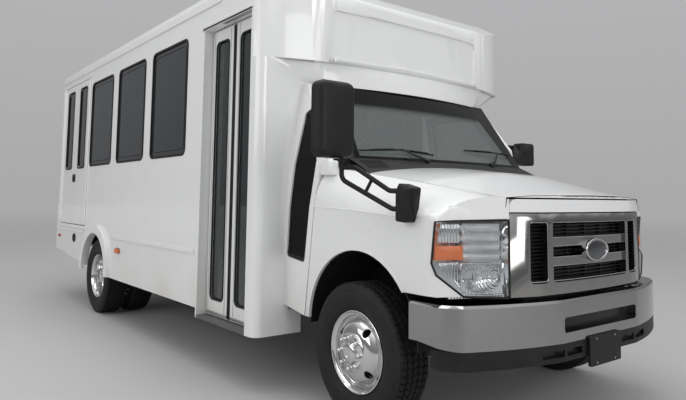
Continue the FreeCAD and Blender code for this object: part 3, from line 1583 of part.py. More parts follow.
def make_wheels():
    for name, side in (("left", 1), ("right", -1)):
        y = side * front_wheel_y
        save("tyre_front_" + name, flat_sided(tyre(), 0, y, tyre_sides))
        body = turned([(r, side * w) for r, w in front_wheel()], 0, y)
        save("wheel_front_" + name, body.cut(hand_holes(0, y, side, 40, 100)))
        outer = side * rear_outer_wheel_y
        inner = side * (rear_outer_wheel_y - twin_spacing)
        twins = [flat_sided(tyre(), -wheelbase, centre_y, tyre_sides) for centre_y in (outer, inner)]
        save("tyres_rear_" + name, *twins)
        body = turned([(r, side * w) for r, w in twin_wheels()], -wheelbase, outer)
        save("wheels_rear_" + name, body.cut(hand_holes(-wheelbase, outer, side, -twin_spacing, twin_spacing)))


def make_under():
    front = entry_rear_x - tank["front_gap"]
    rear = -wheelbase + tank["axle_gap"]
    body = soft_block(rear, front, tank["inner_y"], tank["outer_y"], tank["bottom_z"], tank["top_z"],
                      tank["corner"], along["x"])
    third = (front - rear) / 4
    straps = [block(x, x + tank["strap"], rail_outer_y, tank["inner_y"] + 20, tank["strap_low_z"],
                    tank["strap_high_z"]) for x in (rear + third, front - third)]
    save("fuel_tank", fuse(body, *straps))
    y, z, over_y, over_z = pipe["y"], pipe["z"], pipe["over_y"], pipe["over_z"]
    route = [
        V(gearbox["rear_x"] + 390, y, z + 30),
        V(-1500, y, z),
        V(-wheelbase + 813, y, z),
        V(-wheelbase + 593, over_y, z + 20),
        V(-wheelbase + 313, over_y, over_z),
        V(-wheelbase - 337, over_y, over_z),
        V(-wheelbase - 617, over_y, z + 20),
        V(-wheelbase - 837, y, z),
        V(body_rear_x - 60, y, z),
    ]
    can = rod(V(muffler["front"], y, z), V(muffler["rear"], y, z), muffler["radius"])
    hangers = [rod(V(x, y, z), V(x, y, rail_top_z - rail_height), pipe_hanger_r) for x in pipe_hangers]
    save("exhaust", fuse(mitred_rod(route, pipe["radius"]), can, *hangers))


make_walls()
make_roof()
make_floor()
make_side_windows()
make_front_cap()
make_front_clip()
make_lamps_and_grille()
make_liners()
make_bumper()
make_cab_glass(make_cab_sides())
make_cab_shell()
make_dashboard()
make_seats()
make_stanchions()
make_mirrors()
make_entry_door()
make_lift_door()
make_rear_door()
make_trim()
make_rear_bumper()
make_frame()
make_drive()
make_front_axle()
make_rear_axle()
make_wheels()
make_under()
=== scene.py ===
import json
import math

import bpy
from mathutils import Matrix, Vector

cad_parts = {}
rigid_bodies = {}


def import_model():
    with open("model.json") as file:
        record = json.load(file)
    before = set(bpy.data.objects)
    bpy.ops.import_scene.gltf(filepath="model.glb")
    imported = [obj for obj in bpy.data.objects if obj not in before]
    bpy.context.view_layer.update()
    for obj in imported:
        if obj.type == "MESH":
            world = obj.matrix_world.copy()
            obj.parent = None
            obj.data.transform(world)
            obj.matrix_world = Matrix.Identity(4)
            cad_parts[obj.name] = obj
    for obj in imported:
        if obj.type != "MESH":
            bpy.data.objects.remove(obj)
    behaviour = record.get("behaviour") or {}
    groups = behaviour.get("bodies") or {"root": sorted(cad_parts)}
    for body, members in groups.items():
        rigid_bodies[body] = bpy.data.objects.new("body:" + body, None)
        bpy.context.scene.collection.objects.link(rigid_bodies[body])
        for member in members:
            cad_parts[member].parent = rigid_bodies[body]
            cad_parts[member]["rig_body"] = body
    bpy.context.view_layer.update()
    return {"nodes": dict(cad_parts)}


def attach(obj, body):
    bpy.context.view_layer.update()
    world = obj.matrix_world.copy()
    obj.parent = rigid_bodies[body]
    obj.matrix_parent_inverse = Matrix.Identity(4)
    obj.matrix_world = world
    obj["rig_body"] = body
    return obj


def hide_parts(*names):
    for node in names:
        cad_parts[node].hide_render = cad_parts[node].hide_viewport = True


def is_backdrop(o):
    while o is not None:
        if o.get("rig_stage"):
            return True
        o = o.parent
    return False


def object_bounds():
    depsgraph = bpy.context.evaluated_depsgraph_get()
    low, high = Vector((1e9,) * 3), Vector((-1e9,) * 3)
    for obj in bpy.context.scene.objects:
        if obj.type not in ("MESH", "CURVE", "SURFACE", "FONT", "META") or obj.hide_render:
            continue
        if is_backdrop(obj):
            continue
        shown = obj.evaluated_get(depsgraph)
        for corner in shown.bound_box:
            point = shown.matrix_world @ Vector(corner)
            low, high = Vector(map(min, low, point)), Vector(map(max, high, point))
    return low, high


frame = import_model()
scene = bpy.context.scene
scene.view_settings.view_transform = "Standard"
for spare in ("Cube", "Light", "Camera"):  # what a new file starts with
    if spare in bpy.data.objects:
        bpy.data.objects.remove(bpy.data.objects[spare])
print("frame loaded with", len(frame["nodes"]), "nodes")


# Places and picking

frontAxle = 2.438  # how far the front axle stands before the middle of the vehicle, in metres
mergeReach = 0.00002  # points nearer than this are joined, in metres


def at(x, y, z):
    # Millimetres from the front axle, as the part's source has them, to metres in the row frame.
    return Vector((x / 1000 + frontAxle, y / 1000, z / 1000))


def putDown():
    if bpy.context.object and bpy.context.object.mode != "OBJECT":
        bpy.ops.object.mode_set(mode="OBJECT")
    bpy.ops.object.select_all(action="DESELECT")


def pickUp(piece):
    putDown()
    piece.select_set(True)
    bpy.context.view_layer.objects.active = piece


def editAll(piece):
    pickUp(piece)
    bpy.ops.object.mode_set(mode="EDIT")
    bpy.ops.mesh.select_mode(type="VERT")
    bpy.ops.mesh.select_all(action="SELECT")


def editFaces(piece, test):
    # Leaves the piece in edit mode with the faces picked that pass the test.
    pickUp(piece)
    bpy.ops.object.mode_set(mode="EDIT")
    bpy.ops.mesh.select_mode(type="FACE")
    bpy.ops.mesh.select_all(action="DESELECT")
    bpy.ops.object.mode_set(mode="OBJECT")
    for face in piece.data.polygons:
        face.select = bool(test(face))
    bpy.ops.object.mode_set(mode="EDIT")


def withoutFaces(piece, test):
    editFaces(piece, test)
    bpy.ops.mesh.delete(type="FACE")
    putDown()
    return piece


def within(low, high, slack=0.0):
    # A test for the faces whose middle lies between two corners.
    low, high = at(*low), at(*high)
    return lambda face: all(low[i] - slack < face.center[i] < high[i] + slack for i in range(3))


def settle(piece):
    # Puts the place of a piece into its mesh.
    pickUp(piece)
    bpy.ops.object.transform_apply(location=True, rotation=True, scale=True)
    return piece


def applyAll(piece):
    pickUp(piece)
    for modifier in list(piece.modifiers):
        bpy.ops.object.modifier_apply(modifier=modifier.name)
    return piece


def copyOf(piece, name, move=(0, 0, 0)):
    # A moved copy with a mesh of its own.
    made = piece.copy()
    made.data = piece.data.copy()
    made.name = name
    scene.collection.objects.link(made)
    made.data.transform(Matrix.Translation(move))
    return made


def joined(name, pieces):
    putDown()
    for piece in pieces:
        piece.select_set(True)
    bpy.context.view_layer.objects.active = pieces[0]
    bpy.ops.object.join()
    pieces[0].name = name
    return pieces[0]


def fixNormals(piece):
    editAll(piece)
    bpy.ops.mesh.remove_doubles(threshold=mergeReach)
    bpy.ops.mesh.delete_loose()
    bpy.ops.mesh.select_all(action="SELECT")
    bpy.ops.mesh.normals_make_consistent(inside=False)
    putDown()
    return piece


def finishPiece(piece, finish, body, angle=32, stands=(), weigh=False):
    # Gives a piece its finish, its shading and the body it rides on.
    piece.data.materials.clear()
    piece.data.materials.append(finishes[finish])
    pickUp(piece)
    bpy.ops.object.shade_smooth_by_angle(angle=math.radians(angle))
    if weigh:  # large faces lead, so that flats next to curves stay flat
        piece.modifiers.new("weighted normals", "WEIGHTED_NORMAL").keep_sharp = True
        applyAll(piece)
    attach(piece, body)
    if stands:
        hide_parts(*stands)
    return piece


# Shapes

def block(name, x, y, z, edge=0.0, segments=2):
    # A block between pairs of places in millimetres, with its edges rounded.
    low, high = at(min(x), min(y), min(z)), at(max(x), max(y), max(z))
    putDown()
    bpy.ops.mesh.primitive_cube_add(size=1, location=(low + high) / 2)
    piece = bpy.context.object
    piece.name = name
    piece.scale = high - low
    settle(piece)
    if edge:
        editAll(piece)
        bpy.ops.mesh.bevel(offset=edge / 1000, segments=segments, profile=0.5, affect="EDGES")
        putDown()
    return piece


def roundedPath(points, radius, steps=6, closed=True):
    # The corners of a path, flat or not, become arcs.
    points = [Vector(point) for point in points]
    path = []
    for i, corner in enumerate(points):
        if not closed and i in (0, len(points) - 1):
            path.append(corner)
            continue
        into = (points[i - 1] - corner).normalized()
        out = (points[(i + 1) % len(points)] - corner).normalized()
        half = into.angle(out) / 2
        reach, pull = radius / math.tan(half), math.sin(half)
        if half > math.pi / 2 - 0.02:
            path.append(corner)
            continue
        first, last = corner + into * reach, corner + out * reach
        for step in range(steps + 1):
            t = step / steps
            ends, middle = (1 - t) ** 2, 2 * pull * t * (1 - t)
            path.append((first * ends + corner * middle + last * t * t) / (ends + middle + t * t))
    return path


def outline(name, places, fill=True):
    # A ring of points, filled as one face or left open.
    putDown()
    bpy.ops.mesh.primitive_circle_add(vertices=len(places), radius=1, fill_type="NGON" if fill else "NOTHING")
    piece = bpy.context.object
    piece.name = name
    for vertex, place in zip(piece.data.vertices, places):
        vertex.co = place
    return piece


def plate(name, places, push, edge=0.0):
    # A flat outline pushed out to a thickness, with the edges of both faces rounded.
    piece = outline(name, places)
    editAll(piece)
    bpy.ops.mesh.extrude_region_move(TRANSFORM_OT_translate={"value": push})
    bpy.ops.mesh.select_all(action="SELECT")
    bpy.ops.mesh.normals_make_consistent(inside=False)
    putDown()
    return bevelled(piece, edge) if edge else piece


def bevelled(piece, edge, segments=2, angle=40):
    modifier = piece.modifiers.new("soft edges", "BEVEL")
    modifier.width = edge / 1000
    modifier.segments = segments
    modifier.limit_method = "ANGLE"
    modifier.angle_limit = math.radians(angle)
    return applyAll(piece)


def spun(name, profile, middle, steps=96):
    # A closed profile in radius and offset, in millimetres, turned about a line along y through the middle.
    middle = Vector(middle)
    places = [middle + Vector((0, w / 1000, r / 1000)) for r, w in profile]
    piece = outline(name, places, fill=False)
    editAll(piece)
    bpy.ops.mesh.spin(steps=steps, angle=2 * math.pi, center=middle, axis=(0, 1, 0))
    return fixNormals(piece)


def aroundAxle(piece, doublings, middle):
    # Copies what the mesh holds round a line along y, twice as many each time.
    count = 2 ** doublings
    for step in range(doublings):
        editAll(piece)
        bpy.ops.mesh.duplicate()
        bpy.ops.transform.rotate(value=2 * math.pi * 2 ** step / count, orient_axis="Y", orient_type="GLOBAL",
                                 center_override=middle)
    putDown()
    return piece


def tube(name, places, radius, closed=False, sides=10):
    # A round bar along a line of points.
    ring = bpy.data.curves.new(name, "CURVE")
    ring.dimensions = "3D"
    ring.bevel_depth = radius / 1000
    ring.bevel_resolution = max(1, sides // 4)
    ring.use_fill_caps = not closed
    spline = ring.splines.new("POLY")
    spline.points.add(len(places) - 1)
    for point, place in zip(spline.points, places):
        point.co = (*place, 1)
    spline.use_cyclic_u = closed
    piece = bpy.data.objects.new(name, ring)
    scene.collection.objects.link(piece)
    pickUp(piece)
    bpy.ops.object.convert(target="MESH")
    return piece


def bodyOf(node):
    return frame["nodes"][node]["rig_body"]


def thickened(piece, thick, offset):
    modifier = piece.modifiers.new("thickness", "SOLIDIFY")
    modifier.thickness = thick / 1000
    modifier.offset = offset
    return applyAll(piece)


def nodeCopy(node, name):
    # A piece of its own from a CAD node, with its triangles joined up; it is left in edit mode.
    piece = copyOf(frame["nodes"][node], name)
    piece.parent = None
    for key in [key for key in piece.keys() if key.startswith("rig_")]:
        del piece[key]
    piece.hide_render = piece.hide_viewport = False
    editAll(piece)
    bpy.ops.mesh.remove_doubles(threshold=mergeReach)
    return piece


def smoothed(node, name, finish, slot, angle, tidy, edge):
    # A copy of a CAD node, cleaned up and shaded smooth, which stands for it.
    piece = nodeCopy(node, name)
    if tidy:
        bpy.ops.mesh.select_all(action="SELECT")
        bpy.ops.mesh.dissolve_limited(angle_limit=math.radians(tidy))
    putDown()
    if edge:
        bevelled(piece, edge)
    return finishPiece(piece, finish, bodyOf(node), angle, (node,), True)


# Materials

class Wire:
    # A shader socket that takes part in a Python expression.
    def __init__(self, nodes, socket):
        self.nodes = nodes
        self.socket = socket

    def sum(self, operation, first, second):
        return self.nodes.node("ShaderNodeMath", {"operation": operation}, {0: first, 1: second})

    def __add__(self, other):
        return self.sum("ADD", self, other)

    def __radd__(self, other):
        return self.sum("ADD", other, self)

    def __sub__(self, other):
        return self.sum("SUBTRACT", self, other)

    def __rsub__(self, other):
        return self.sum("SUBTRACT", other, self)

    def __mul__(self, other):
        return self.sum("MULTIPLY", self, other)

    def __rmul__(self, other):
        return self.sum("MULTIPLY", other, self)


class Nodes:
    # A node tree that is being written.
    def __init__(self, tree):
        self.tree = tree

    def node(self, kind, settings, sockets, out=0):
        made = self.tree.nodes.new(kind)
        for key, value in settings.items():
            if key == "stops":
                ramp = made.color_ramp
                for spare in range(len(value) - len(ramp.elements)):
                    ramp.elements.new(0.5)
                for element, (position, colour) in zip(ramp.elements, value):
                    element.position = position
                    element.color = (*colour, 1)
            else:
                setattr(made, key, value)
        for key, value in sockets.items():
            if isinstance(value, Wire):
                self.tree.links.new(value.socket, made.inputs[key])
            else:
                made.inputs[key].default_value = value
        return Wire(self, made.outputs[out])


class Finish(Nodes):
    # A material that is being written.
    def __init__(self, name, colour, **settings):
        self.material = bpy.data.materials.new(name)
        self.material.use_nodes = True
        super().__init__(self.material.node_tree)
        self.shader = self.tree.nodes["Principled BSDF"]
        self.shader.inputs["Base Color"].default_value = (*colour, 1)
        for key, value in settings.items():
            self.shader.inputs[shaderSockets[key]].default_value = value
        self.place = self.node("ShaderNodeTexCoord", {}, {}, "Object")

    def noise(self, scale, detail=2.0, rough=0.5, stretch=(1, 1, 1)):
        where = self.node("ShaderNodeMapping", {}, {"Vector": self.place, "Scale": stretch})
        return self.node("ShaderNodeTexNoise", {}, {"Vector": where, "Scale": scale, "Detail": detail,
                                                    "Roughness": rough})

    def part(self, axis):
        return self.node("ShaderNodeSeparateXYZ", {}, {0: self.place}, axis)

    def between(self, value, low, high):
        # 0 at low and 1 at high, held to that range.
        return self.node("ShaderNodeMapRange", {"clamp": True}, {0: value, 1: low, 2: high, 3: 0.0, 4: 1.0})

    def blend(self, share, first, second):
        sockets = {0: share}
        for key, value in ((6, first), (7, second)):
            sockets[key] = value if isinstance(value, Wire) else (*value, 1)
        return self.node("ShaderNodeMix", {"data_type": "RGBA"}, sockets, 2)

    def feed(self, socket, value):
        self.tree.links.new(value.socket, self.shader.inputs[socket])

    def bump(self, height, strength, distance, under=None):
        sockets = {"Height": height, "Strength": strength, "Distance": distance}
        if under:
            sockets["Normal"] = under
        return self.node("ShaderNodeBump", {}, sockets)


shaderSockets = {
    "metallic": "Metallic", "roughness": "Roughness", "ior": "IOR", "alpha": "Alpha",
    "coat": "Coat Weight", "coatRoughness": "Coat Roughness", "sheen": "Sheen Weight",
    "specular": "Specular IOR Level", "glow": "Emission Strength",
}


def paintFinish(name, colour, waves, dust):
    # Gloss white: faint waves in the panels, and road dust low down.
    finish = Finish(name, colour, roughness=0.3, coat=0.7, coatRoughness=0.05)
    patches = finish.noise(2.2, 2, 0.5)
    low = 1 - finish.between(finish.part("Z"), 0.36, 0.95)
    mask = low * patches * dust
    finish.feed("Base Color", finish.blend(mask, colour, (0.47, 0.44, 0.39)))
    finish.feed("Roughness", patches * 0.1 + 0.24 + mask * 0.3)
    finish.feed("Normal", finish.bump(finish.noise(1.3, 1, 0.4, (1, 1, 0.5)), waves, 0.05))
    return finish.material


def chromeFinish(name, colour, roughness, smudge, flutes=0.0):
    # Plated metal with a haze; lamp reflectors are fluted as well.
    finish = Finish(name, colour, metallic=1.0, roughness=roughness)
    haze = finish.between(finish.noise(7, 5, 0.65), 0.42, 0.75)
    finish.feed("Roughness", haze * smudge + roughness)
    finish.feed("Base Color", finish.blend(haze * 0.35, colour, tuple(c * 0.82 for c in colour)))
    relief = finish.bump(finish.noise(3.5, 2), 0.04, 0.02)
    if flutes:
        waves = finish.node("ShaderNodeTexWave", {"bands_direction": "Y"},
                            {"Vector": finish.place, "Scale": flutes})
        relief = finish.bump(waves, 0.7, 0.007, relief)
    finish.feed("Normal", relief)
    return finish.material


def plasticFinish(name, colour, roughness, grain):
    finish = Finish(name, colour, roughness=roughness, specular=0.25)
    fade = finish.noise(6, 4, 0.6)
    finish.feed("Roughness", fade * 0.16 + (roughness - 0.08))
    pale = tuple(min(1, c * 1.6 + 0.012) for c in colour)
    mask = finish.between(fade, 0.45, 0.8) * 0.35
    finish.feed("Base Color", finish.blend(mask, colour, pale))
    grainHeight = finish.node("ShaderNodeTexVoronoi", {"feature": "F1"},
                              {"Vector": finish.place, "Scale": 620.0})
    finish.feed("Normal", finish.bump(grainHeight, grain, 0.0006))
    return finish.material


def rubberFinish(name, colour, roughness):
    finish = Finish(name, colour, roughness=roughness, specular=0.25)
    patches = finish.noise(18, 4, 0.6)
    finish.feed("Roughness", patches * 0.2 + (roughness - 0.1))
    finish.feed("Base Color", finish.blend(finish.between(patches, 0.5, 0.85) * 0.5, colour,
                                           (0.05, 0.05, 0.048)))
    finish.feed("Normal", finish.bump(finish.noise(300, 3), 0.1, 0.0008))
    return finish.material


def tyreFinish():
    colour = (0.013, 0.013, 0.0135)
    finish = Finish("tyre rubber", colour, roughness=0.7, specular=0.25)
    grime = finish.between(finish.noise(11, 6, 0.65), 0.45, 0.8)
    finish.feed("Base Color", finish.blend(grime * 0.45, colour, (0.040, 0.038, 0.034)))
    finish.feed("Roughness", grime * 0.16 + 0.58)
    finish.feed("Normal", finish.bump(finish.noise(260, 4, 0.6), 0.16, 0.001))
    return finish.material


def glassFinish(name, colour, alpha):
    finish = Finish(name, colour, roughness=0.03, ior=1.5, alpha=alpha, coat=0.5, coatRoughness=0.01)
    film = finish.between(finish.noise(3.2, 5, 0.6, (1, 1, 0.5)), 0.4, 0.8)
    finish.feed("Roughness", film * 0.02 + 0.015)
    finish.feed("Base Color", finish.blend(film * 0.3, colour, tuple(c * 1.5 + 0.01 for c in colour)))
    finish.feed("Normal", finish.bump(finish.noise(0.9, 1), 0.02, 0.03))
    return finish.material


def windshieldFinish():
    # Clear in the middle, with a black border and a dark band along the top; the grey base colour over the
    # pane is a painted reflection of the sky.
    # This grey colour is painted reflection: it stands in for the sky mirrored in the glass
    colour = (0.24, 0.265, 0.262)
    finish = Finish("windshield glass", colour, roughness=0.02, ior=1.22, specular=0.3)
    height = finish.part("Z")
    across = finish.node("ShaderNodeMath", {"operation": "ABSOLUTE"}, {0: finish.part("Y")})
    side = (0.79 - (height - 1.44) * 0.194) - across
    border = 1 - finish.between(side, 0.028, 0.036)
    border = border + (1 - finish.between(height, 1.462, 1.474)) + finish.between(height, 1.925, 1.932)
    band = finish.between(height, 1.775, 1.835)
    shade = finish.between(border, 0.0, 1.0)
    finish.feed("Alpha", finish.between(shade + band * 0.6 + 0.32, 0.0, 1.0))
    finish.feed("Base Color", finish.blend(finish.between(shade + band, 0.0, 1.0), colour,
                                           (0.006, 0.006, 0.006)))
    finish.feed("Roughness", finish.noise(5, 4) * 0.03 + 0.01)
    return finish.material


def lensFinish(name, colour, alpha, ribs, glow=0.0):
    # Moulded lamp lens with fine ribs on its face.
    finish = Finish(name, colour, roughness=0.12, ior=1.46, alpha=alpha, coat=0.25, specular=0.3, glow=glow)
    finish.shader.inputs["Emission Color"].default_value = (*colour, 1)
    wave = finish.node("ShaderNodeTexWave", {"bands_direction": "Z"}, {"Vector": finish.place, "Scale": ribs})
    cells = finish.node("ShaderNodeTexVoronoi", {}, {"Vector": finish.place, "Scale": ribs * 1.5})
    finish.feed("Base Color", finish.blend(finish.between(cells, 0.2, 0.8) * 0.4, colour,
                                           tuple(c * 0.55 for c in colour)))
    finish.feed("Normal", finish.bump(wave + cells * 0.5, 0.25, 0.002))
    return finish.material


def metalFinish(name, colour, roughness, metallic, pits, rust):
    finish = Finish(name, colour, roughness=roughness, metallic=metallic)
    patches = finish.noise(9, 6, 0.65)
    mask = finish.between(patches, 0.45, 0.75)
    dirty = tuple(c * 0.6 + d * rust for c, d in zip(colour, (0.16, 0.09, 0.05)))
    finish.feed("Base Color", finish.blend(mask * (0.5 + rust), colour, dirty))
    finish.feed("Roughness", mask * 0.2 + roughness)
    finish.feed("Normal", finish.bump(finish.noise(160, 4, 0.6), pits, 0.001))
    return finish.material


def brushedFinish(name, colour, roughness, stretch):
    finish = Finish(name, colour, roughness=roughness, metallic=1.0)
    lines = finish.noise(60, 3, 0.6, stretch)
    finish.feed("Roughness", lines * 0.16 + (roughness - 0.06))
    finish.feed("Base Color", finish.blend(lines * 0.3, colour, tuple(c * 0.75 for c in colour)))
    finish.feed("Normal", finish.bump(lines, 0.04, 0.001))
    return finish.material


def clothFinish():
    # Woven seat cloth: crossed threads and a scatter of paler flecks.
    colour = (0.035, 0.042, 0.075)
    finish = Finish("seat cloth", colour, roughness=0.9, sheen=0.25)
    warp = finish.node("ShaderNodeTexWave", {"bands_direction": "Y"},
                       {"Vector": finish.place, "Scale": 130.0})
    weft = finish.node("ShaderNodeTexWave", {"bands_direction": "Z"},
                       {"Vector": finish.place, "Scale": 130.0})
    weave = warp * weft
    flecks = finish.between(finish.noise(85, 2, 0.7), 0.6, 0.66)
    finish.feed("Base Color", finish.blend(flecks * 0.6, finish.blend(weave, colour, (0.06, 0.068, 0.105)),
                                           (0.16, 0.17, 0.21)))
    finish.feed("Normal", finish.bump(weave + finish.noise(30, 3) * 0.4, 0.35, 0.0015))
    return finish.material


def floorFinish():
    # Ribbed floor covering, scuffed in the aisle.
    colour = (0.085, 0.088, 0.094)
    finish = Finish("floor covering", colour, roughness=0.6)
    ribs = finish.node("ShaderNodeTexWave", {"bands_direction": "Y"}, {"Vector": finish.place, "Scale": 38.0})
    scuffs = finish.between(finish.noise(4, 6, 0.7), 0.5, 0.75)
    finish.feed("Base Color", finish.blend(scuffs * 0.5, colour, (0.15, 0.148, 0.14)))
    finish.feed("Roughness", scuffs * 0.2 + 0.5)
    finish.feed("Normal", finish.bump(ribs, 0.3, 0.002))
    return finish.material


white = (0.78, 0.785, 0.79)
finishes = {
    "paint": paintFinish("white paint", white, 0.10, 0.8),
    "gelcoat": paintFinish("white gelcoat", (0.77, 0.775, 0.775), 0.06, 0.3),
    "leafPaint": paintFinish("white door frames", (0.72, 0.725, 0.725), 0.04, 0.6),
    "chrome": chromeFinish("bright chrome", (0.60, 0.60, 0.60), 0.05, 0.09),
    # The bumper is plated like the bright chrome; its darker colour is painted shade for the darker
    # reflection on its face
    "bumper": chromeFinish("bumper chrome", (0.34, 0.335, 0.33), 0.05, 0.09),
    "grille": chromeFinish("satin bright trim", (0.33, 0.325, 0.315), 0.12, 0.12),
    "reflector": chromeFinish("lamp reflector", (0.72, 0.73, 0.74), 0.03, 0.05),
    "fluted": chromeFinish("fluted lamp reflector", (0.78, 0.79, 0.80), 0.05, 0.05, 22.0),
    "mirror": chromeFinish("mirror glass", (0.80, 0.82, 0.83), 0.01, 0.01),
    "bossField": chromeFinish("grey boss face", (0.16, 0.165, 0.17), 0.2, 0.1),
    "wheelBright": chromeFinish("polished wheel", (0.7, 0.695, 0.685), 0.07, 0.14),
    "blackPlastic": plasticFinish("black grained plastic", (0.011, 0.011, 0.012), 0.5, 0.3),
    "blackTrim": plasticFinish("black smooth trim", (0.010, 0.010, 0.011), 0.3, 0.08),
    "dash": plasticFinish("grey moulded dashboard", (0.055, 0.057, 0.06), 0.62, 0.3),
    "rubber": rubberFinish("black window rubber", (0.012, 0.012, 0.012), 0.55),
    "tyre": tyreFinish(),
    "tint": glassFinish("dark tinted glass", (0.022, 0.025, 0.028), 0.9),
    "leafGlass": glassFinish("door glass", (0.022, 0.028, 0.0275), 0.8),
    "cabGlass": glassFinish("cab side glass", (0.03, 0.036, 0.035), 0.7),
    "windshield": windshieldFinish(),
    "lens": lensFinish("clear lamp lens", (0.5, 0.52, 0.54), 0.07, 6.0),
    "amber": lensFinish("amber lens", (0.60, 0.12, 0.003), 1.0, 26.0, 0.1),
    "red": lensFinish("red lens", (0.42, 0.008, 0.008), 1.0, 26.0, 0.06),
    "whiteLens": lensFinish("white lamp lens", (0.75, 0.77, 0.78), 1.0, 26.0),
    "chassis": metalFinish("black chassis paint", (0.018, 0.018, 0.019), 0.5, 0.0, 0.15, 0.25),
    "cast": metalFinish("cast iron", (0.07, 0.068, 0.066), 0.6, 0.5, 0.4, 0.6),
    "aluminium": brushedFinish("plain aluminium", (0.56, 0.57, 0.58), 0.36, (1, 1, 0.05)),
    "tubeSteel": brushedFinish("bright steel tube", (0.62, 0.63, 0.64), 0.2, (1, 1, 0.04)),
    "exhaust": metalFinish("exhaust steel", (0.32, 0.3, 0.28), 0.45, 0.9, 0.1, 0.5),
    "cloth": clothFinish(),
    "floor": floorFinish(),
}
print("finishes made:", len(finishes))


# CAD nodes that keep their own mesh and get a finish

nodeFinishes = {
    "frame_rails": "chassis", "floor_sills": "chassis", "fuel_tank": "chassis", "driveline": "cast",
    "radiator": "aluminium", "front_axle": "cast", "rear_axle": "cast", "knuckle_left": "cast",
    "knuckle_right": "cast", "exhaust": "exhaust", "cab_shell": "blackPlastic",
    "wheel_liners": "blackPlastic",
    "floor": "floor", "stanchions": "tubeSteel", "seats": "cloth", "dashboard": "dash",
    "steering_wheel": "blackTrim", "window_glass": "tint", "driver_door_glass": "cabGlass",
    "entry_glass_front": "leafGlass", "entry_glass_rear": "leafGlass", "lift_glass_front": "tint",
    "lift_glass_rear": "tint", "rear_door_glass": "tint",
}
for node, finish in nodeFinishes.items():
    mesh = frame["nodes"][node].data
    mesh.materials.clear()
    mesh.materials.append(finishes[finish])

# CAD nodes whose surface shows curves: a joined-up smooth copy stands for each
# node: name of the piece, finish, slot, smoothing angle, planar clean-up angle, edge rounding in mm
smoothNodes = {
    "wall_right": ("rightWall", "paint", "body_panel", 30, 0.5, 2.0),
    "wall_left": ("leftWall", "paint", "body_panel", 30, 0.5, 2.0),
    "wall_rear": ("rearWall", "paint", "body_panel", 30, 0.5, 2.0),
    "roof": ("roofSkin", "gelcoat", "body_panel", 40, 0, 0),
    "front_cap": ("frontCap", "gelcoat", "body_panel", 32, 0, 0),
    "fenders": ("fenderSkins", "paint", "body_white", 32, 0, 0),
    "hood": ("hoodSkin", "paint", "body_white", 32, 0, 0),
    "cab_panel_right": ("cabPanel", "paint", "body_white", 32, 0, 0),
    "driver_door": ("driverDoor", "paint", "body_white", 32, 0, 0),
    "front_bumper": ("bumperBar", "bumper", "chrome", 32, 0.5, 2.0),
    "bumper_valance": ("bumperValance", "blackPlastic", "black_plastic", 32, 0, 0),
    "grille": ("grilleFrame", "grille", "grille_grey", 32, 0.5, 2.0),
    "cab_glass": ("cabGlass", "windshield", "glass_dark", 32, 0, 0),
    "mirror_right": ("rightMirror", "blackPlastic", "black_plastic", 40, 0, 0),
    "mirror_left": ("leftMirror", "blackPlastic", "black_plastic", 40, 0, 0),
    "window_frames": ("windowFrames", "rubber", "rubber_black", 30, 0.5, 1.5),
    "wheel_flares": ("wheelFlares", "gelcoat", "body_panel", 32, 0, 0),
    "side_rails": ("sideRails", "gelcoat", "body_panel", 30, 0.5, 3.0),
    "lamps": ("bodyLamps", "amber", "lamp_amber", 32, 0, 0),
    "rear_bumper": ("rearBumper", "blackPlastic", "black_plastic", 32, 0, 0),
    "entry_leaf_front": ("entryFrameFront", "leafPaint", "aluminium", 30, 0.5, 2.0),
    "entry_leaf_rear": ("entryFrameRear", "leafPaint", "aluminium", 30, 0.5, 2.0),
    "lift_door_front": ("liftDoorFront", "paint", "body_panel", 30, 0.5, 2.0),
    "lift_door_rear": ("liftDoorRear", "paint", "body_panel", 30, 0.5, 2.0),
    "rear_door": ("rearDoor", "paint", "body_panel", 30, 0.5, 2.0),
}
skins = {node: smoothed(node, *look) for node, look in smoothNodes.items()}
print("CAD skins smoothed:", len(skins))


# Tyres: a moulded carcass, and a tread of ribs cut across by sipes

tyreForm = {
    "side": [(206.3, 60), (206.3, 76), (213, 81), (222, 86), (226, 91), (231, 92), (234, 96), (247, 102.5),
             (262, 107.5), (280, 111), (298, 112.4), (316, 111.6), (320, 110), (324, 111.2), (331, 110.4),
             (334, 107), (344, 104), (352, 100.5), (358, 97), (361, 92)],
    # ribs: offset, width, gap between blocks, skew
    "ribs": ((-76, 29, 7, 3), (-38, 31, 4, 7), (0, 31, 4, -7), (38, 31, 4, 7), (76, 29, 7, -3)),
    "ribBase": 356, "ribTop": 371.4, "repeats": 6,
}


def treadBlock(offset, width, gap, skew, crown):
    # One block of a rib, on top of the wheel at the origin; its ends are skewed.
    pitch = 2 * math.pi * tyreForm["ribTop"] / 2 ** tyreForm["repeats"]
    half, side = (pitch - gap) / 2, width / 2
    corners = [(-half - skew, offset - side), (half - skew, offset - side), (half + skew, offset + side),
               (-half + skew, offset + side)]
    base, top = tyreForm["ribBase"] / 1000, (tyreForm["ribTop"] - crown) / 1000
    piece = plate("treadBlock", [(x / 1000, y / 1000, base) for x, y in corners], (0, 0, top - base))
    return bevelled(piece, 1.6, 1)


def makeTyre():
    side = tyreForm["side"]
    profile = side + [(r, -w) for r, w in reversed(side)]
    carcass = spun("tyreMould", profile, (0, 0, 0))
    ribs = []
    for offset, width, gap, skew in tyreForm["ribs"]:
        rib = treadBlock(offset, width, gap, skew, 1.5 if abs(offset) > 60 else 0.0)
        ribs.append(aroundAxle(rib, tyreForm["repeats"], (0, 0, 0)))
    return joined("tyreMould", [carcass] + ribs)


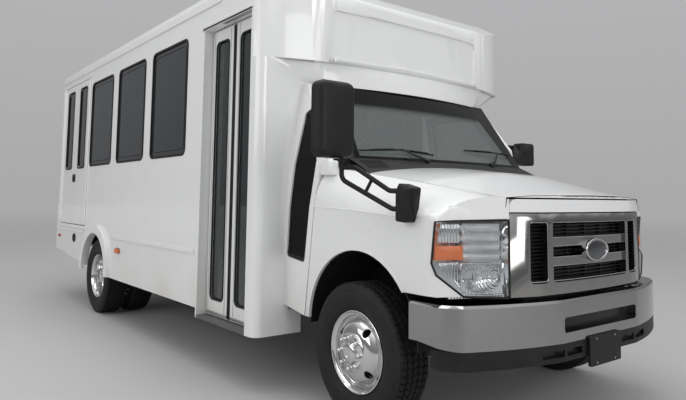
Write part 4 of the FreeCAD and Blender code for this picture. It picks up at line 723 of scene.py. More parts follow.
axleHeight, rearAxleX = 372, -4013
frontY, outerY, innerY = 895, 1090, 814  # the middles of the tyres
wheelPlaces = {  # node of the tyre: name, body, x of the axle, y of each tyre
    "tyre_front_left": ("frontTyreLeft", "wheel_front_left", 0, (frontY,)),
    "tyre_front_right": ("frontTyreRight", "wheel_front_right", 0, (-frontY,)),
    "tyres_rear_left": ("rearTyresLeft", "wheels_rear_left", rearAxleX, (outerY, innerY)),
    "tyres_rear_right": ("rearTyresRight", "wheels_rear_right", rearAxleX, (-outerY, -innerY)),
}
mould = makeTyre()
for node, (name, body, axleX, rows) in wheelPlaces.items():
    pair = [copyOf(mould, name, at(axleX, y, axleHeight)) for y in rows]
    finishPiece(joined(name, pair), "tyre", body, 35, (node,))
bpy.data.objects.remove(mould)
print("tyres and tread made")


# Wheels: polished covers with four hand holes and bullet nut covers

frontFace = [(220, 89), (219.4, 92.4), (216.5, 94), (212.5, 93.2), (209.5, 89.5), (206, 85.5), (199, 83),
             (194.5, 81), (192, 77), (191, 66), (188, 60), (183, 57.5), (179, 58.5), (176, 62), (173, 69),
             (167, 81), (158, 93), (147, 102.5), (134, 109.5), (120, 114), (108, 116.5), (101, 119),
             (97.5, 123),
             (95, 124.5), (66, 124.5)]
frontCap = [(60, 126), (56, 131), (54, 138), (49, 143), (40, 146.5), (30, 148.5), (22, 149.5), (20, 146),
            (0, 146)]
frontBack = [(0, 76), (25.1, 76), (25.1, -16), (60, -16), (62, 100), (94, 108), (120, 104), (142, 93),
             (156, 78),
             (166, 60), (172, 30), (175, -20), (195, -52), (198, -85), (214, -94), (220, -89), (205.6, -81),
             (202, -56), (184, -30), (184, 30), (202, 56), (205.6, 81)]
twinFace = [(220, 89), (219.4, 92.4), (216.5, 94), (212.5, 93.2), (209.5, 89.5), (206, 85), (200, 80),
            (196, 70),
            (193, 55), (189, 40), (184, 10), (180, -40), (174, -64), (166, -80), (154, -95), (138, -107),
            (120, -114), (104, -117), (98, -118), (96, -114)]
twinHub = [(78, -112), (76, -60), (74, 20), (70, 46), (66, 54), (60, 58), (46, 61), (24, 62), (22, 59),
           (0, 59)]
twinBack = [(0, 40), (38.1, 40), (38.1, -200), (78, -200), (80, -134), (120, -131), (150, -112), (168, -84),
            (174, -50), (178, -20), (184, 0), (194, -50), (198, -85), (214, -94), (220, -89), (205.6, -81),
            (202, -56), (190, -30), (190, 30), (202, 56), (205.6, 81)]
nutCover = {"circle": 82.5, "radius": 12.5, "tall": 30, "doublings": 3}
handHole = {"circle": 148, "radius": 21, "first": 50, "count": 4}


def nutCovers(side, middle, base):
    # Bullet covers round the hub, each with a skirt.
    r, rise = nutCover["radius"], nutCover["tall"]
    bullet = [(0, base - 2), (r + 2.5, base - 2), (r + 2.5, base + 3), (r, base + 5), (r, base + rise * 0.55),
              (r * 0.92, base + rise * 0.72), (r * 0.7, base + rise * 0.88), (r * 0.38, base + rise * 0.97),
              (0, base + rise)]
    first = Vector(middle) + Vector((0, 0, nutCover["circle"] / 1000))
    piece = spun("nutCover", [(radius, side * w) for radius, w in bullet], first, 20)
    return aroundAxle(piece, nutCover["doublings"], middle)


def drill(piece, cutters):
    # Cuts the joined cutters out of the piece.
    cutter = joined("cutter", cutters)
    modifier = piece.modifiers.new("holes", "BOOLEAN")
    modifier.operation = "DIFFERENCE"
    modifier.solver = "EXACT"
    modifier.object = cutter
    applyAll(piece)
    bpy.data.objects.remove(cutter)
    return piece


def handHoles(side, middle, near, far):
    cutters = []
    for i in range(handHole["count"]):
        turn = math.radians(handHole["first"] + 360 // handHole["count"] * i)
        place = Vector(middle) + Vector((math.cos(turn), 0, math.sin(turn))) * (handHole["circle"] / 1000)
        place.y += side * (near + far) / 2000
        putDown()
        bpy.ops.mesh.primitive_cylinder_add(vertices=40, radius=handHole["radius"] / 1000,
                                            depth=(far - near) / 1000, location=place,
                                            rotation=(math.pi / 2, 0, 0))
        cutters.append(settle(bpy.context.object))
    return cutters


def makeWheel(name, side, axleX, y, profile, nutBase, holes):
    middle = at(axleX, side * y, axleHeight)
    disc = spun(name, [(r, side * w) for r, w in profile], middle)
    drill(disc, handHoles(side, middle, *holes))
    bevelled(disc, 1.2, 2, 50)
    return joined(name, [disc, nutCovers(side, middle, nutBase)])


for side, word in ((1, "Left"), (-1, "Right")):
    front = makeWheel("frontWheel" + word, side, 0, frontY, frontFace + frontCap + frontBack, 124.5,
                      (40, 130))
    outer = makeWheel("rearWheelOuter", side, rearAxleX, outerY, twinFace + twinHub + twinBack, -118,
                      (-150, -40))
    innerPath = twinFace + [(80, -112), (80, -131)] + twinBack[5:]
    inner = spun("rearWheelInner", [(r, side * (innerY - outerY - w)) for r, w in innerPath],
                 at(rearAxleX, side * outerY, axleHeight), 72)
    rear = joined("rearWheels" + word, [outer, inner])
    for piece, node in ((front, "wheel_front_"), (rear, "wheels_rear_")):
        node += word.lower()
        finishPiece(piece, "wheelBright", node, 34, (node,))
print("wheels made")


# Small shapes used by the trim below

def turned(name, profile, place, way, steps=40):
    # A profile in radius and height, in millimetres, turned about a line through a place.
    piece = spun(name, profile, (0, 0, 0), steps)
    lean = Vector((0, 1, 0)).rotation_difference(Vector(way)).to_matrix().to_4x4()
    piece.data.transform(Matrix.Translation(place) @ lean)
    return piece


def bolts(name, places, way, radius, tall):
    # Six-sided heads on washers, modelled once and copied.
    lean = Vector((0, 0, 1)).rotation_difference(Vector(way)).to_matrix().to_4x4()
    parts = []
    for sides, r, low, high in ((24, radius * 1.5, -1, tall * 0.3), (6, radius, 0, tall)):
        putDown()
        bpy.ops.mesh.primitive_cylinder_add(vertices=sides, radius=r / 1000, depth=(high - low) / 1000,
                                            location=(0, 0, (high + low) / 2000))
        parts.append(bevelled(settle(bpy.context.object), 0.8, 2))
    head = joined("boltHead", parts)
    head.data.transform(lean)
    heads = [copyOf(head, name, place) for place in places]
    bpy.data.objects.remove(head)
    return joined(name, heads)


def strip(name, start, end, up, widths, thick, edge=1.5):
    # A flat bar between two places, wide at the start and narrow at the end, with its top facing up.
    start, end, up = Vector(start), Vector(end), Vector(up).normalized()
    side = (end - start).cross(up).normalized()
    first, last = side * (widths[0] / 2000), side * (widths[1] / 2000)
    return plate(name, [start - first, end - last, end + last, start + first], up * (thick / 1000), edge)


def sheetOver(name, columns, rows, place, thick):
    # A sheet whose points come from a rule of two shares, made solid.
    putDown()
    bpy.ops.mesh.primitive_grid_add(x_subdivisions=columns, y_subdivisions=rows, size=2)
    piece = bpy.context.object
    piece.name = name
    for vertex in piece.data.vertices:
        vertex.co = place((vertex.co.x + 1) / 2, (vertex.co.y + 1) / 2)
    return fixNormals(thickened(piece, thick, 0))


def flatCorners(across, up):
    # The corners of a rectangle between two pairs of places.
    return [(across[0], up[0], 0), (across[1], up[0], 0), (across[1], up[1], 0), (across[0], up[1], 0)]


def upright(x, y, z, corner, facing="side"):
    # A rounded rectangle that stands up, seen from the side or from the front.
    path = roundedPath(flatCorners(x if facing == "side" else y, z), corner, 8)
    return [at(p.x, y, p.y) if facing == "side" else at(x, p.x, p.y) for p in path]


# Headlamps: a clear lens over a bright housing with flutes, an amber lamp and a low-beam bowl
# Inside a lamp s runs along the lens, t inward and z up.

lampForm = {
    "start": (600, 990), "along": (0.392, -0.920), "outer": 143, "inner": 352,
    "bands": 4, "bandLow": 900, "bandTall": 46, "dip": 26, "face": 14, "back": 74, "backTop": 1085,
    "bowl": (238, 10, 820), "bowlSize": (100, 58, 68),
    # name: s, t, z, rounding of the edges
    "flanks": (("lampSill", (62, 356), (2, 22), (729, 745), 3),
               ("lampFlank", (22, 128), (26, 40), (770, 900), 10),
               ("lampTopFlank", (4, 138), (22, 40), (990, 1084), 10)),
    # middle, profile, steps
    "bulbs": (((238, 62, 820), [(0, 0), (13, 0), (13, 34), (11, 40), (6, 44), (0, 45)], 24),
              ((152, 36, 1040), [(0, 0), (8, 0), (8, 12), (5, 17), (0, 18)], 20)),
    "sealLine": [(594, 990.8, 1097), (572, 993.7, 896), (600, 990, 843), (655, 861, 739), (751, 636, 724),
                 (751, 636, 1103)],
}


def lampFrame(side):
    # From a lamp's own directions to the row frame.
    (x, y), (alongX, alongY) = lampForm["start"], lampForm["along"]
    start = at(x, y * side, 0)
    return Matrix(((alongX, alongY, 0, start.x), (alongY * side, -alongX * side, 0, start.y), (0, 0, 1, 0),
                   (0, 0, 0, 1)))


def lampBox(name, s, t, z, edge):
    piece = plate(name, [Vector((along, t[0], up)) / 1000 for along, up, flat in flatCorners(s, z)],
                  (0, (t[1] - t[0]) / 1000, 0))
    return bevelled(piece, edge, 2)


def outward(face):
    # Whether a face of the headlamp node belongs to the lens.
    side = 1 if face.normal.y * face.center.y > 0 else -1
    return face.normal.x * 0.75 + abs(face.normal.y) * 0.66 * side > 0.35


def lampShell(name, test, thick):
    # The headlamp node without the faces that pass the test, made solid.
    return thickened(withoutFaces(nodeCopy("headlamps", name), test), thick, -1)


def lampBands():
    # A bright wall behind the lens whose face is a row of scallops.
    edge = []
    for band in range(lampForm["bands"]):
        low = lampForm["bandLow"] + lampForm["bandTall"] * band
        for step in range(9):
            share = step / 8
            dip = lampForm["dip"] * math.sin(math.pi * share)
            edge.append((lampForm["face"] + dip, low + lampForm["bandTall"] * share))
    edge += [(lampForm["back"], lampForm["backTop"]), (lampForm["back"], lampForm["bandLow"])]
    outer, inner = lampForm["outer"], lampForm["inner"]
    return plate("bands", [Vector((outer, t, z)) / 1000 for t, z in edge], ((inner - outer) / 1000, 0, 0))


def lampBright():
    bands = lampBands()
    lowBeam = lampBox("lowBeam", (130, lampForm["inner"]), (8, 76), (747, 897), 3)
    putDown()
    bpy.ops.mesh.primitive_uv_sphere_add(segments=48, ring_count=24, radius=1)
    hollow = bpy.context.object
    hollow.scale = Vector(lampForm["bowlSize"]) / 1000
    hollow.location = Vector(lampForm["bowl"]) / 1000
    drill(lowBeam, [settle(hollow)])
    return joined("lampBright", [bands, lowBeam] + [lampBox(*flank) for flank in lampForm["flanks"]])


def lampAmber():
    return lampBox("amber", (-2, 141), (5, 34), (911, 979), 4)


def lampBulbs():
    return joined("bulb", [turned("bulb", profile, Vector(middle) / 1000, (0, -1, 0), steps)
                           for middle, profile, steps in lampForm["bulbs"]])


finishPiece(lampShell("headlampLenses", lambda face: not outward(face), 2.5), "lens", "chassis",
            20,
            ("headlamps",))
finishPiece(lampShell("headlampHousings", outward, 2), "reflector", "chassis", 30)
lampInsides = {  # name: how one side's is made, finish, slot, smoothing angle
    "headlampReflectors": (lampBright, "fluted", None, 30),
    "turnLamps": (lampAmber, "amber", "lamp_amber", 30),
    "headlampBulbs": (lampBulbs, "whiteLens", None, 40),
}
for name, (make, finish, slot, angle) in lampInsides.items():
    pair = []
    for side in (1, -1):
        piece = make()
        piece.data.transform(lampFrame(side))
        pair.append(fixNormals(piece))
    finishPiece(joined(name, pair), finish, "chassis", angle)
seals = [tube("lampSeal", roundedPath([at(x, y * side, z) for x, y, z in lampForm["sealLine"]], 0.012, 3),
              5.5,
              True, 8) for side in (1, -1)]
finishPiece(joined("headlampSeals", seals), "rubber", "chassis", 60)
print("headlamps made")


# Nose: black slats behind the grille frame, a plain oval boss, shadow lines and bolts

noseForm = {"slatHalf": 520, "slatLow": 792, "slatStep": 18.5, "slats": 17, "boss": (112, 62),
            "bossHeight": 940}


def noseX(y, back):
    # Plan line of the grille's face, set back by a distance.
    middle = min(abs(y), 480)
    return 828 - middle * middle / 8257 - max(abs(y) - 480, 0) * 0.324 - back


steps = [noseForm["slatHalf"] * (i / 12 - 1) for i in range(25)]
slat = plate("grilleSlats", [at(noseX(y, 50), y, noseForm["slatLow"]) for y in steps]
             + [at(noseX(y, 66), y, noseForm["slatLow"] + 4) for y in reversed(steps)], (0, 0, 0.006))
rows = slat.modifiers.new("rows", "ARRAY")
rows.count = noseForm["slats"]
rows.use_relative_offset = False
rows.use_constant_offset = True
rows.constant_offset_displace = (0, 0, noseForm["slatStep"] / 1000)
applyAll(slat)
backing = sheetOver("grilleBack", 24, 2, lambda u,
                    v: at(noseX(1060 * u - 530, 71), 1060 * u - 530, 772 + 336 * v), 3)
ribs = [block("grilleRib", (noseX(y, 70), noseX(y, 52)), (y - 3, y + 3), (776, 1104)) for y in
        (-470, -330, -165, 0, 165, 330, 470)]
finishPiece(joined("grilleSlats", [slat, backing] + ribs), "blackTrim", "chassis", 30)

reachY, reachZ = noseForm["boss"]
boss = plate("grilleBoss", [at(782, reachY * math.cos(a), noseForm["bossHeight"] + reachZ * math.sin(a))
                            for a in [math.pi * i / 36 for i in range(72)]], (0.066, 0, 0))
editFaces(boss, lambda face: face.normal.x > 0.9)
for inset, push in ((0.004, 0.004), (0.007, 0.0), (0.003, -0.007)):
    bpy.ops.mesh.inset(thickness=inset)
    bpy.ops.transform.translate(value=(push, 0, 0))
putDown()
finishPiece(bevelled(boss, 1.2, 2, 30), "chrome", "chassis", 32)
field = plate("grilleBossField", [at(844, (reachY - 17) * math.cos(a),
                                     noseForm["bossHeight"] + (reachZ - 17) * math.sin(a))
                                  for a in [math.pi * i / 36 for i in range(72)]], (0.005, 0, 0))
finishPiece(bevelled(field, 2.0, 2, 30), "bossField", "chassis", 40)

lipLine = [(741, -650, 1150), (747, -645, 1212), (770, -486.6, 1221.5), (803, -363, 1223.5),
           (815, -285, 1224.5), (822.5, -210, 1225.5), (826, -120, 1226.5), (827.3, 0, 1227.5)]
line = [at(*place) for place in lipLine]
line += [Vector((p.x, -p.y, p.z)) for p in reversed(line[:-1])]
finishPiece(tube("hoodLipLine", line, 3.2, False, 8), "rubber", "hood", 60)

editFaces(skins["bumper_valance"], lambda face: face.normal.x > 0.9 and face.center.x > at(884, 0, 0).x)
bpy.ops.transform.translate(value=(-0.003, 0, 0))
putDown()
plateBolts = bolts("plateBracketBolts", [at(880, y, z) for y in (-89, 89) for z in (367.5, 488.5)], (1, 0, 0),
                   5.5, 4.8)
finishPiece(plateBolts, "tubeSteel", "chassis", 30)
print("nose made")


# Cowl and wipers

def cowlPlace(u, v):
    y = 850 * (2 * u - 1)
    front = at(-96 + 45 * (y / 850) ** 2, y, 1394 - 50 * (y / 850) ** 2)
    rear = at(-186 - 58 * (y / 790) ** 2, y, 1443)
    return front.lerp(rear, v) + Vector((0, 0, 0.004 * math.sin(math.pi * v)))


cowl = [sheetOver("cowlPanel", 20, 5, cowlPlace, 4)]
for i in range(9):
    u = 0.03 + 0.011 * i
    cowl.append(strip("louvre", cowlPlace(u, 0.25), cowlPlace(u, 0.8), (0, 0, 1), (5, 5), 7, 1))
finishPiece(joined("cowlPanel", cowl), "blackPlastic", "chassis", 30)

wiperForm = {  # pivot, elbow, blade middle, blade ends
    "kerb": ((-181, -250, 1440), (-206, -352, 1474), (-247, -430, 1512),
             ((-277, -755, 1493), (-223, -149, 1490))),
    "driver": ((-192, 420, 1440), (-226, 500, 1484), (-285, 590, 1546),
               ((-262, 200, 1545), (-318, 800, 1541))),
}
glassOut = Vector((0.83, 0, 0.56))
wiperParts = []
for pivot, elbow, grip, (first, last) in wiperForm.values():
    pivot, elbow, grip = at(*pivot), at(*elbow), at(*grip)
    middle = Vector((grip.x + 0.004, grip.y, grip.z))
    wiperParts.append(turned("wiperPivot", [(0, -6), (15, -6), (15, 12), (12, 17), (5, 19), (0, 19)], pivot,
                             glassOut, 28))
    wiperParts.append(strip("wiperArm", pivot + glassOut * 0.012, elbow + glassOut * 0.014, glassOut,
                            (24, 17), 9, 3))
    wiperParts.append(strip("wiperArm", elbow + glassOut * 0.014, middle + glassOut * 0.012, glassOut,
                            (16, 9), 8, 2.5))
    for a, b in ((at(*first), middle), (middle, at(*last))):
        wiperParts.append(strip("wiperBlade", a + glassOut * 0.004, b + glassOut * 0.004, glassOut, (9, 9), 9,
                                2))
        wiperParts.append(strip("wiperBow", a.lerp(b, 0.25) + glassOut * 0.012,
                                a.lerp(b, 0.8) + glassOut * 0.014,
                                glassOut, (8, 10), 6, 2))
finishPiece(joined("wipers", wiperParts), "blackTrim", "chassis", 35)
print("cowl and wipers made")


# Kerb mirror: a domed head with two mirror glasses behind

def mirrorHead(name, x, y, z, corner):
    # Shell from its rear rim forward: straight sides, then a dome made by stepping in.
    rear, front = x
    places = upright(rear, y, z, corner, "front")
    shell = plate(name, places, ((front - rear) * 0.00062, 0, 0))
    editFaces(shell, lambda face: face.normal.x > 0.9)
    for share, inset in ((0.2, 0.008), (0.12, 0.012), (0.06, 0.022)):
        bpy.ops.mesh.inset(thickness=inset)
        bpy.ops.transform.translate(value=((front - rear) * share / 1000, 0, 0))
    putDown()
    editFaces(shell, lambda face: face.normal.x < -0.9)
    bpy.ops.mesh.inset(thickness=0.012)
    bpy.ops.transform.translate(value=(0.010, 0, 0))
    putDown()
    return bevelled(shell, 4, 3, 50)


headBox = ((55, 140), (-1345, -1105), (1410, 1815))
withoutFaces(skins["mirror_right"], within(*zip(*headBox), 0.002))
head = mirrorHead("rightMirrorHead", *headBox, 46)
finishPiece(head, "blackPlastic", "chassis", 50)
fold = strip("mirrorFold", at(128, -1316, 1452), at(128, -1316, 1774), (1, 0, 0), (5, 5), 5, 2)
cap = strip("mirrorCap", at(70, -1225, 1412), at(120, -1225, 1412), (0, 0, -1), (60, 60), 4, 2)
finishPiece(joined("rightMirrorTrim", [fold, cap]), "blackTrim", "chassis", 40)
glasses = [plate("mirrorGlass", upright(62, (-1328, -1122), z, 26, "front"), (0.003, 0, 0)) for z in
           ((1560, 1798), (1428, 1548))]
finishPiece(joined("rightMirrorGlass", [fixNormals(piece) for piece in glasses]), "mirror", "chassis",
            30)
glass = plate("leftMirrorGlass", upright(-501, (975, 1270), (1506, 1654), 22, "front"), (-0.006, 0, 0))
finishPiece(fixNormals(glass), "mirror", bodyOf("mirror_left"), 30)
feet = bolts("mirrorFootBolts", [at(x, -1058, z) for x, z in ((412, 1110), (478, 1112), (452, 1258))],
             (0, -1, 0), 4.5, 4)
finishPiece(feet, "blackTrim", "chassis", 30)
print("mirrors made")


# Door leaves and windows: rubber seals, meeting strips, kick bands and small fittings

def sealRing(name, x, z, corner, y, radius):
    # A rubber bead round a light in a side wall.
    return tube(name, upright(x, y, z, corner), radius, True, 8)


leafLights = {  # body: word, window, meeting strip, kick band, first edges of the stiles
    "entry_front": ("Front", (-1087, -890), (-1170, -1150), (-1150, -836), (-860, -1112)),
    "entry_rear": ("Rear", (-1456, -1259), (-1196, -1175.5), (-1510, -1198), (-1492, -1240)),
}
for body, (word, light, meeting, kick, stiles) in leafLights.items():
    parts = [sealRing("seal", light, (479, 2333), 40, y, radius) for y, radius in ((-1147, 7), (-1113, 5))]
    parts.append(block("meetingStrip", meeting, (-1149.5, -1110.5), (374, 2418), 3))
    finishPiece(joined("leafSeals" + word, parts), "rubber", body, 60)
    bands = [block("kick" + word, kick, (-1148.6, -1146), (374, 396), 1)]
    bands += [block("leafStile", (x, x + 7), (-1148.5, -1146), (400, 2412), 1) for x in stiles]
    finishPiece(joined("leafBand" + word, bands), "aluminium", body, 30)
print("door leaves dressed")


# Nose header in body white, bright beads on the grille's edges, black sheets behind the openings as painted
# shade

def cutAt(piece, height, upper):
    # Keeps what is above or below a height and closes the cut.
    editAll(piece)
    bpy.ops.mesh.bisect(plane_co=(0, 0, height / 1000), plane_no=(0, 0, 1), use_fill=True, clear_inner=upper,
                        clear_outer=not upper)
    putDown()
    return piece


header = cutAt(copyOf(skins["grille"], "noseHeader"), 1141, True)
finishPiece(header, "paint", bodyOf("grille"), 32, (), True)
cutAt(skins["grille"], 1134, False)


def noseLine(name, places, back, radius, closed):
    # A bead along the grille's face through places in y and z.
    places = [Vector((*place, 0)) for place in places]
    path = []
    for first, last in zip(places, places[1:] + (places[:1] if closed else [])):
        cuts = max(1, int((last - first).length / 45))
        path += [first.lerp(last, i / cuts) for i in range(cuts)]
    if not closed:
        path.append(places[-1])
    return tube(name, [at(noseX(p.x, back), p.x, p.y) for p in path], radius, closed, 8)


def noseRing(y, z, corner, back, radius):
    path = roundedPath(flatCorners(y, z), corner, 5)
    return noseLine("bead", [(p.x, p.y) for p in path], back, radius, True)


beads = [noseRing((-636, 636), (739, 1131), 30, 1, 3.4), noseRing((-380, 380), (795, 1090), 16, 0.5, 3.0),
         noseRing((398, 520), (795, 1090), 16, 0.5, 3.0), noseRing((-520, -398), (795, 1090), 16, 0.5, 3.0)]
for level in (868, 912, 968, 1012):
    beads.append(noseLine("bead", [(-379, level), (379, level)], 9, 2.4, False))
finishPiece(joined("grilleBeads", beads), "chrome", bodyOf("grille"), 60)
openings = {  # name: columns, middle of the face, width, low edge, height
    "intake": (12, 824, 940, 526, 116), "lowIntake": (16, 842, 1140, 414, 66),
}
bumperCurve = 11500
# Black sheets behind the bumper slot and the valance slot are painted shade: the openings are only dark
# inside
shadeSheets = []
for columns, faceX, wide, low, tall in openings.values():
    def behind(u, v):
        y = wide * (u - 0.5)
        return at(faceX - y ** 2 / bumperCurve, y, low + tall * v)
    shadeSheets.append(sheetOver("openingBack", columns, 1, behind, 3))
finishPiece(joined("openingBacks", shadeSheets), "blackTrim", "chassis", 40)
pillarFoot = block("pillarFoot", (-372, -258), (-984, -914), (1336, 1426), 14, 3)
finishPiece(pillarFoot, "paint", "chassis", 40)
crease = [(-392, 1149.5), (-326, 1147), (-133, 1139.5), (44, 1132), (250, 1117), (330, 1112)]
creases = [tube("fenderCrease", [at(x, side * 1000.5, z) for x, z in crease], 4.2, False, 8) for side in (1,
                                                                                                          -1)]
finishPiece(joined("fenderCrease", creases), "paint", "chassis", 60)
print("nose trimmed")


# Lamps: the amber copy keeps the side markers, and the others take their own lens

def keepWithin(piece, low, high):
    # Keeps the faces whose middles lie between two corners.
    inside = within(low, high)
    return withoutFaces(piece, lambda face: not inside(face))


def lampCopy(name, finish, low, high):
    finishPiece(keepWithin(copyOf(skins["lamps"], name), low, high), finish, "chassis", 40)


lampRows = {  # name: finish, height of the round lamp
    "stopLamps": ("red", 1010), "rearTurnLamps": ("amber", 1150), "reverseLamps": ("whiteLens", 1290),
}
for name, (finish, height) in lampRows.items():
    lampCopy(name, finish, (-5700, -1200, height - 60), (-5655, 1200, height + 60))
lampCopy("rearSideLamps", "red", (-5520, -1300, 690), (-5440, 1300, 740))
lampCopy("roofLamps", "red", (-5700, -200, 2650), (-5650, 200, 2700))
keepWithin(skins["lamps"], (-3360, -1300, 640), (-3220, 1300, 720))
rings = []
for finish, height in lampRows.values():
    for side in (1, -1):
        rings.append(turned("lampRing", [(55, 0), (66, 0), (66, 7), (64, 11), (60, 13), (57, 12), (55, 10)],
                            at(-5660, side * 1080, height), (-1, 0, 0), 48))
finishPiece(joined("lampRings", rings), "rubber", "chassis", 40)
bases = [block("markerBase", (-3354, -3229), (side * 1217, side * 1224), (652, 710), 3) for side in (1, -1)]
bases += [block("markerBase", (-5518, -5442), (side * 1217, side * 1224), (694, 732), 3) for side in (1, -1)]
finishPiece(joined("markerBases", bases), "chrome", "chassis", 30)
filler = turned("fuelFiller", [(0, 2), (30, 2), (33, 4), (34, 10), (38, 13), (44, 12), (48, 8), (49, -2),
                               (0, -2)],
                at(-4836, -1219, 719), (0, -1, 0), 48)
fillerCap = turned("fuelFiller", [(0, 0), (24, 0), (26, 3), (26, 6), (23, 8), (0, 8)], at(-4836, -1219, 719),
                   (0, -1, 0), 36)
finishPiece(joined("fuelFiller", [filler, fillerCap]), "blackPlastic", "chassis", 35)
print("lamps and filler made")


# Seats: padded cushions and backs on tube frames

def padded(piece, voxel, cap):
    # Blows a closed form up as cloth and holds how far each point may move.
    even = piece.modifiers.new("even mesh", "REMESH")
    even.mode = "VOXEL"
    even.voxel_size = voxel / 1000
    applyAll(piece)
    start = [vertex.co.copy() for vertex in piece.data.vertices]
    cloth = piece.modifiers.new("padding", "CLOTH")
    cloth.settings.use_pressure = True
    cloth.settings.uniform_pressure_force = 4.0
    cloth.settings.effector_weights.gravity = 0
    cloth.point_cache.frame_start = 1
    cloth.point_cache.frame_end = 20
    for step in range(1, 21):
        scene.frame_set(step)
    applyAll(piece)
    for vertex, place in zip(piece.data.vertices, start):
        move = vertex.co - place
        if move.length > cap / 1000:
            vertex.co = place + move.normalized() * (cap / 1000)
    scene.frame_set(1)
    return piece


def cushionPair(name, sizeX, sizeY, sizeZ, back, backY, voxel, cap):
    # A seat cushion and a back whose edge is a polygon in x and z.
    cushion = block(name + "Cushion", sizeX, sizeY, sizeZ, 30, 3)
    rear = plate(name + "Back", [at(x, backY[0], z) for x, z in back], (0, (backY[1] - backY[0]) / 1000, 0))
    bevelled(rear, 26, 3, 30)
    return padded(cushion, voxel, cap), padded(rear, voxel, cap)


def insetBack(points, share):
    # The same polygon a little smaller round its middle.
    middleX = sum(x for x, z in points) / len(points)
    middleZ = sum(z for x, z in points) / len(points)
    return [(middleX + (x - middleX) * share[0], middleZ + (z - middleZ) * share[1]) for x, z in points]


benchForm = {
    "firstX": -1900, "pitch": 750,
    "rows": [(-1, row) for row in range(3)] + [(1, row) for row in range(5)],  # side, row
    "back": [(-424, 1206), (-520, 1806), (-604, 1806), (-506, 1130), (-424, 1124)],
}
model = []
for y in ((318, 712), (738, 1132)):
    model += cushionPair("bench", (-418, -14), y, (1104, 1196), insetBack(benchForm["back"], (0.8, 0.97)), y,
                         13, 14)
for side, row in benchForm["rows"]:
    legs = []
    frontX = benchForm["firstX"] - benchForm["pitch"] * row
    place = ("Left" if side > 0 else "Right") + str(row + 1)
    for i, part in enumerate(model):
        kind = ("InnerCushion", "InnerBack", "OuterCushion", "OuterBack")[i]
        piece = copyOf(part, "bench" + place + kind, (frontX / 1000, 0, 0))
        if side < 0:
            editAll(piece)
            bpy.ops.transform.mirror(constraint_axis=(False, True, False), orient_type="GLOBAL",
                                     center_override=(0, 0, 0))
            bpy.ops.mesh.normals_make_consistent(inside=False)
            putDown()
        finishPiece(piece, "cloth", "chassis", 80)
        if side > 0 and row == 0 and i == 0:
            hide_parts("seats")
    for y in (420, 1030):
        path = [(-392, y, 792), (-392, y, 1074), (-50, y, 1074), (-50, y, 792)]
        legs.append(tube("benchLeg", [at(frontX + p.x, side * p.y, p.z) for p in roundedPath(path, 45, 5,
                                                                                             False)], 15,
                         False, 12))
        for x in (-392, -50):
            legs.append(block("benchFoot", (frontX + x - 34, frontX + x + 34), (side * y - 26, side * y + 26),
                              (790, 796), 2))
    legs.append(block("benchPan", (frontX - 420, frontX - 16), (side * 312, side * 1138), (1086, 1102), 5))
    grab = [(-512, 330, 1700), (-556, 330, 1828), (-556, 1120, 1828), (-512, 1120, 1700)]
    legs.append(tube("benchRail", [at(frontX + p.x, side * p.y, p.z) for p in roundedPath(grab, 40, 6,
                                                                                          False)], 12,
                     False, 12))
    finishPiece(joined("benchFrame" + place, legs), "chassis", "chassis", 40)
for part in model:
    bpy.data.objects.remove(part)

driverBack = [(-1185, 1066), (-1225, 1150), (-1305, 1600), (-1330, 1690), (-1400, 1690), (-1360, 1066)]
seat, rest = cushionPair("driver", (-1240, -792), (236, 684), (1034, 1126),
                         insetBack(driverBack, (0.85, 0.98)),
                         (244, 676), 12, 16)
headRest = padded(block("driverHeadrest", (-1400, -1330), (335, 585), (1706, 1848), 26, 3), 11, 12)
for piece, name in ((seat, "driverCushion"), (rest, "driverBack"), (headRest, "driverHeadrest")):
    piece.name = name
    finishPiece(piece, "cloth", "chassis", 80)
base = [block("driverPedestal", (-1215, -835), (300, 620), (690, 1000), 12, 2),
        block("driverPan", (-1250, -790), (232, 688), (1000, 1030), 8, 2)]
base += [block("driverSlide", (-1230, -800), (y, y + 18), (982, 1000), 3) for y in (262, 640)]
base += [tube("headrestPost", [at(-1362, y, 1660), at(-1366, y, 1730)], 6, False, 10) for y in (410, 510)]
finishPiece(joined("driverSeatBase", base), "blackPlastic", "chassis", 35)
belt = strip("seatBelt", at(-1262, 640, 1128), at(-1330, 652, 1610), (1, 0.02, 0.15), (46, 46), 3, 1)
buckle = block("seatBelt", (-1100, -1050), (205, 222), (1090, 1150), 5)
finishPiece(joined("seatBelt", [belt, buckle]), "rubber", "chassis", 40)
print("seats made")


# Side panes, window lines, drip cap, latches and the blank plate holder

def paneSeal(name, node, body, facing):
    # A raised rubber frame round a pane, made from the pane's own outline.
    piece = nodeCopy(node, name)
    withoutFaces(piece, lambda face: face.normal.y * facing < 0.6 or face.center.y * facing < 0.85)
    editAll(piece)
    bpy.ops.mesh.dissolve_limited(angle_limit=math.radians(12))
    bpy.ops.mesh.select_mode(type="FACE")
    bpy.ops.mesh.select_all(action="SELECT")
    bpy.ops.mesh.inset(thickness=0.022, use_boundary=True)
    bpy.ops.mesh.delete(type="FACE")
    putDown()
    return finishPiece(thickened(piece, 4, 1), "rubber", body, 40)


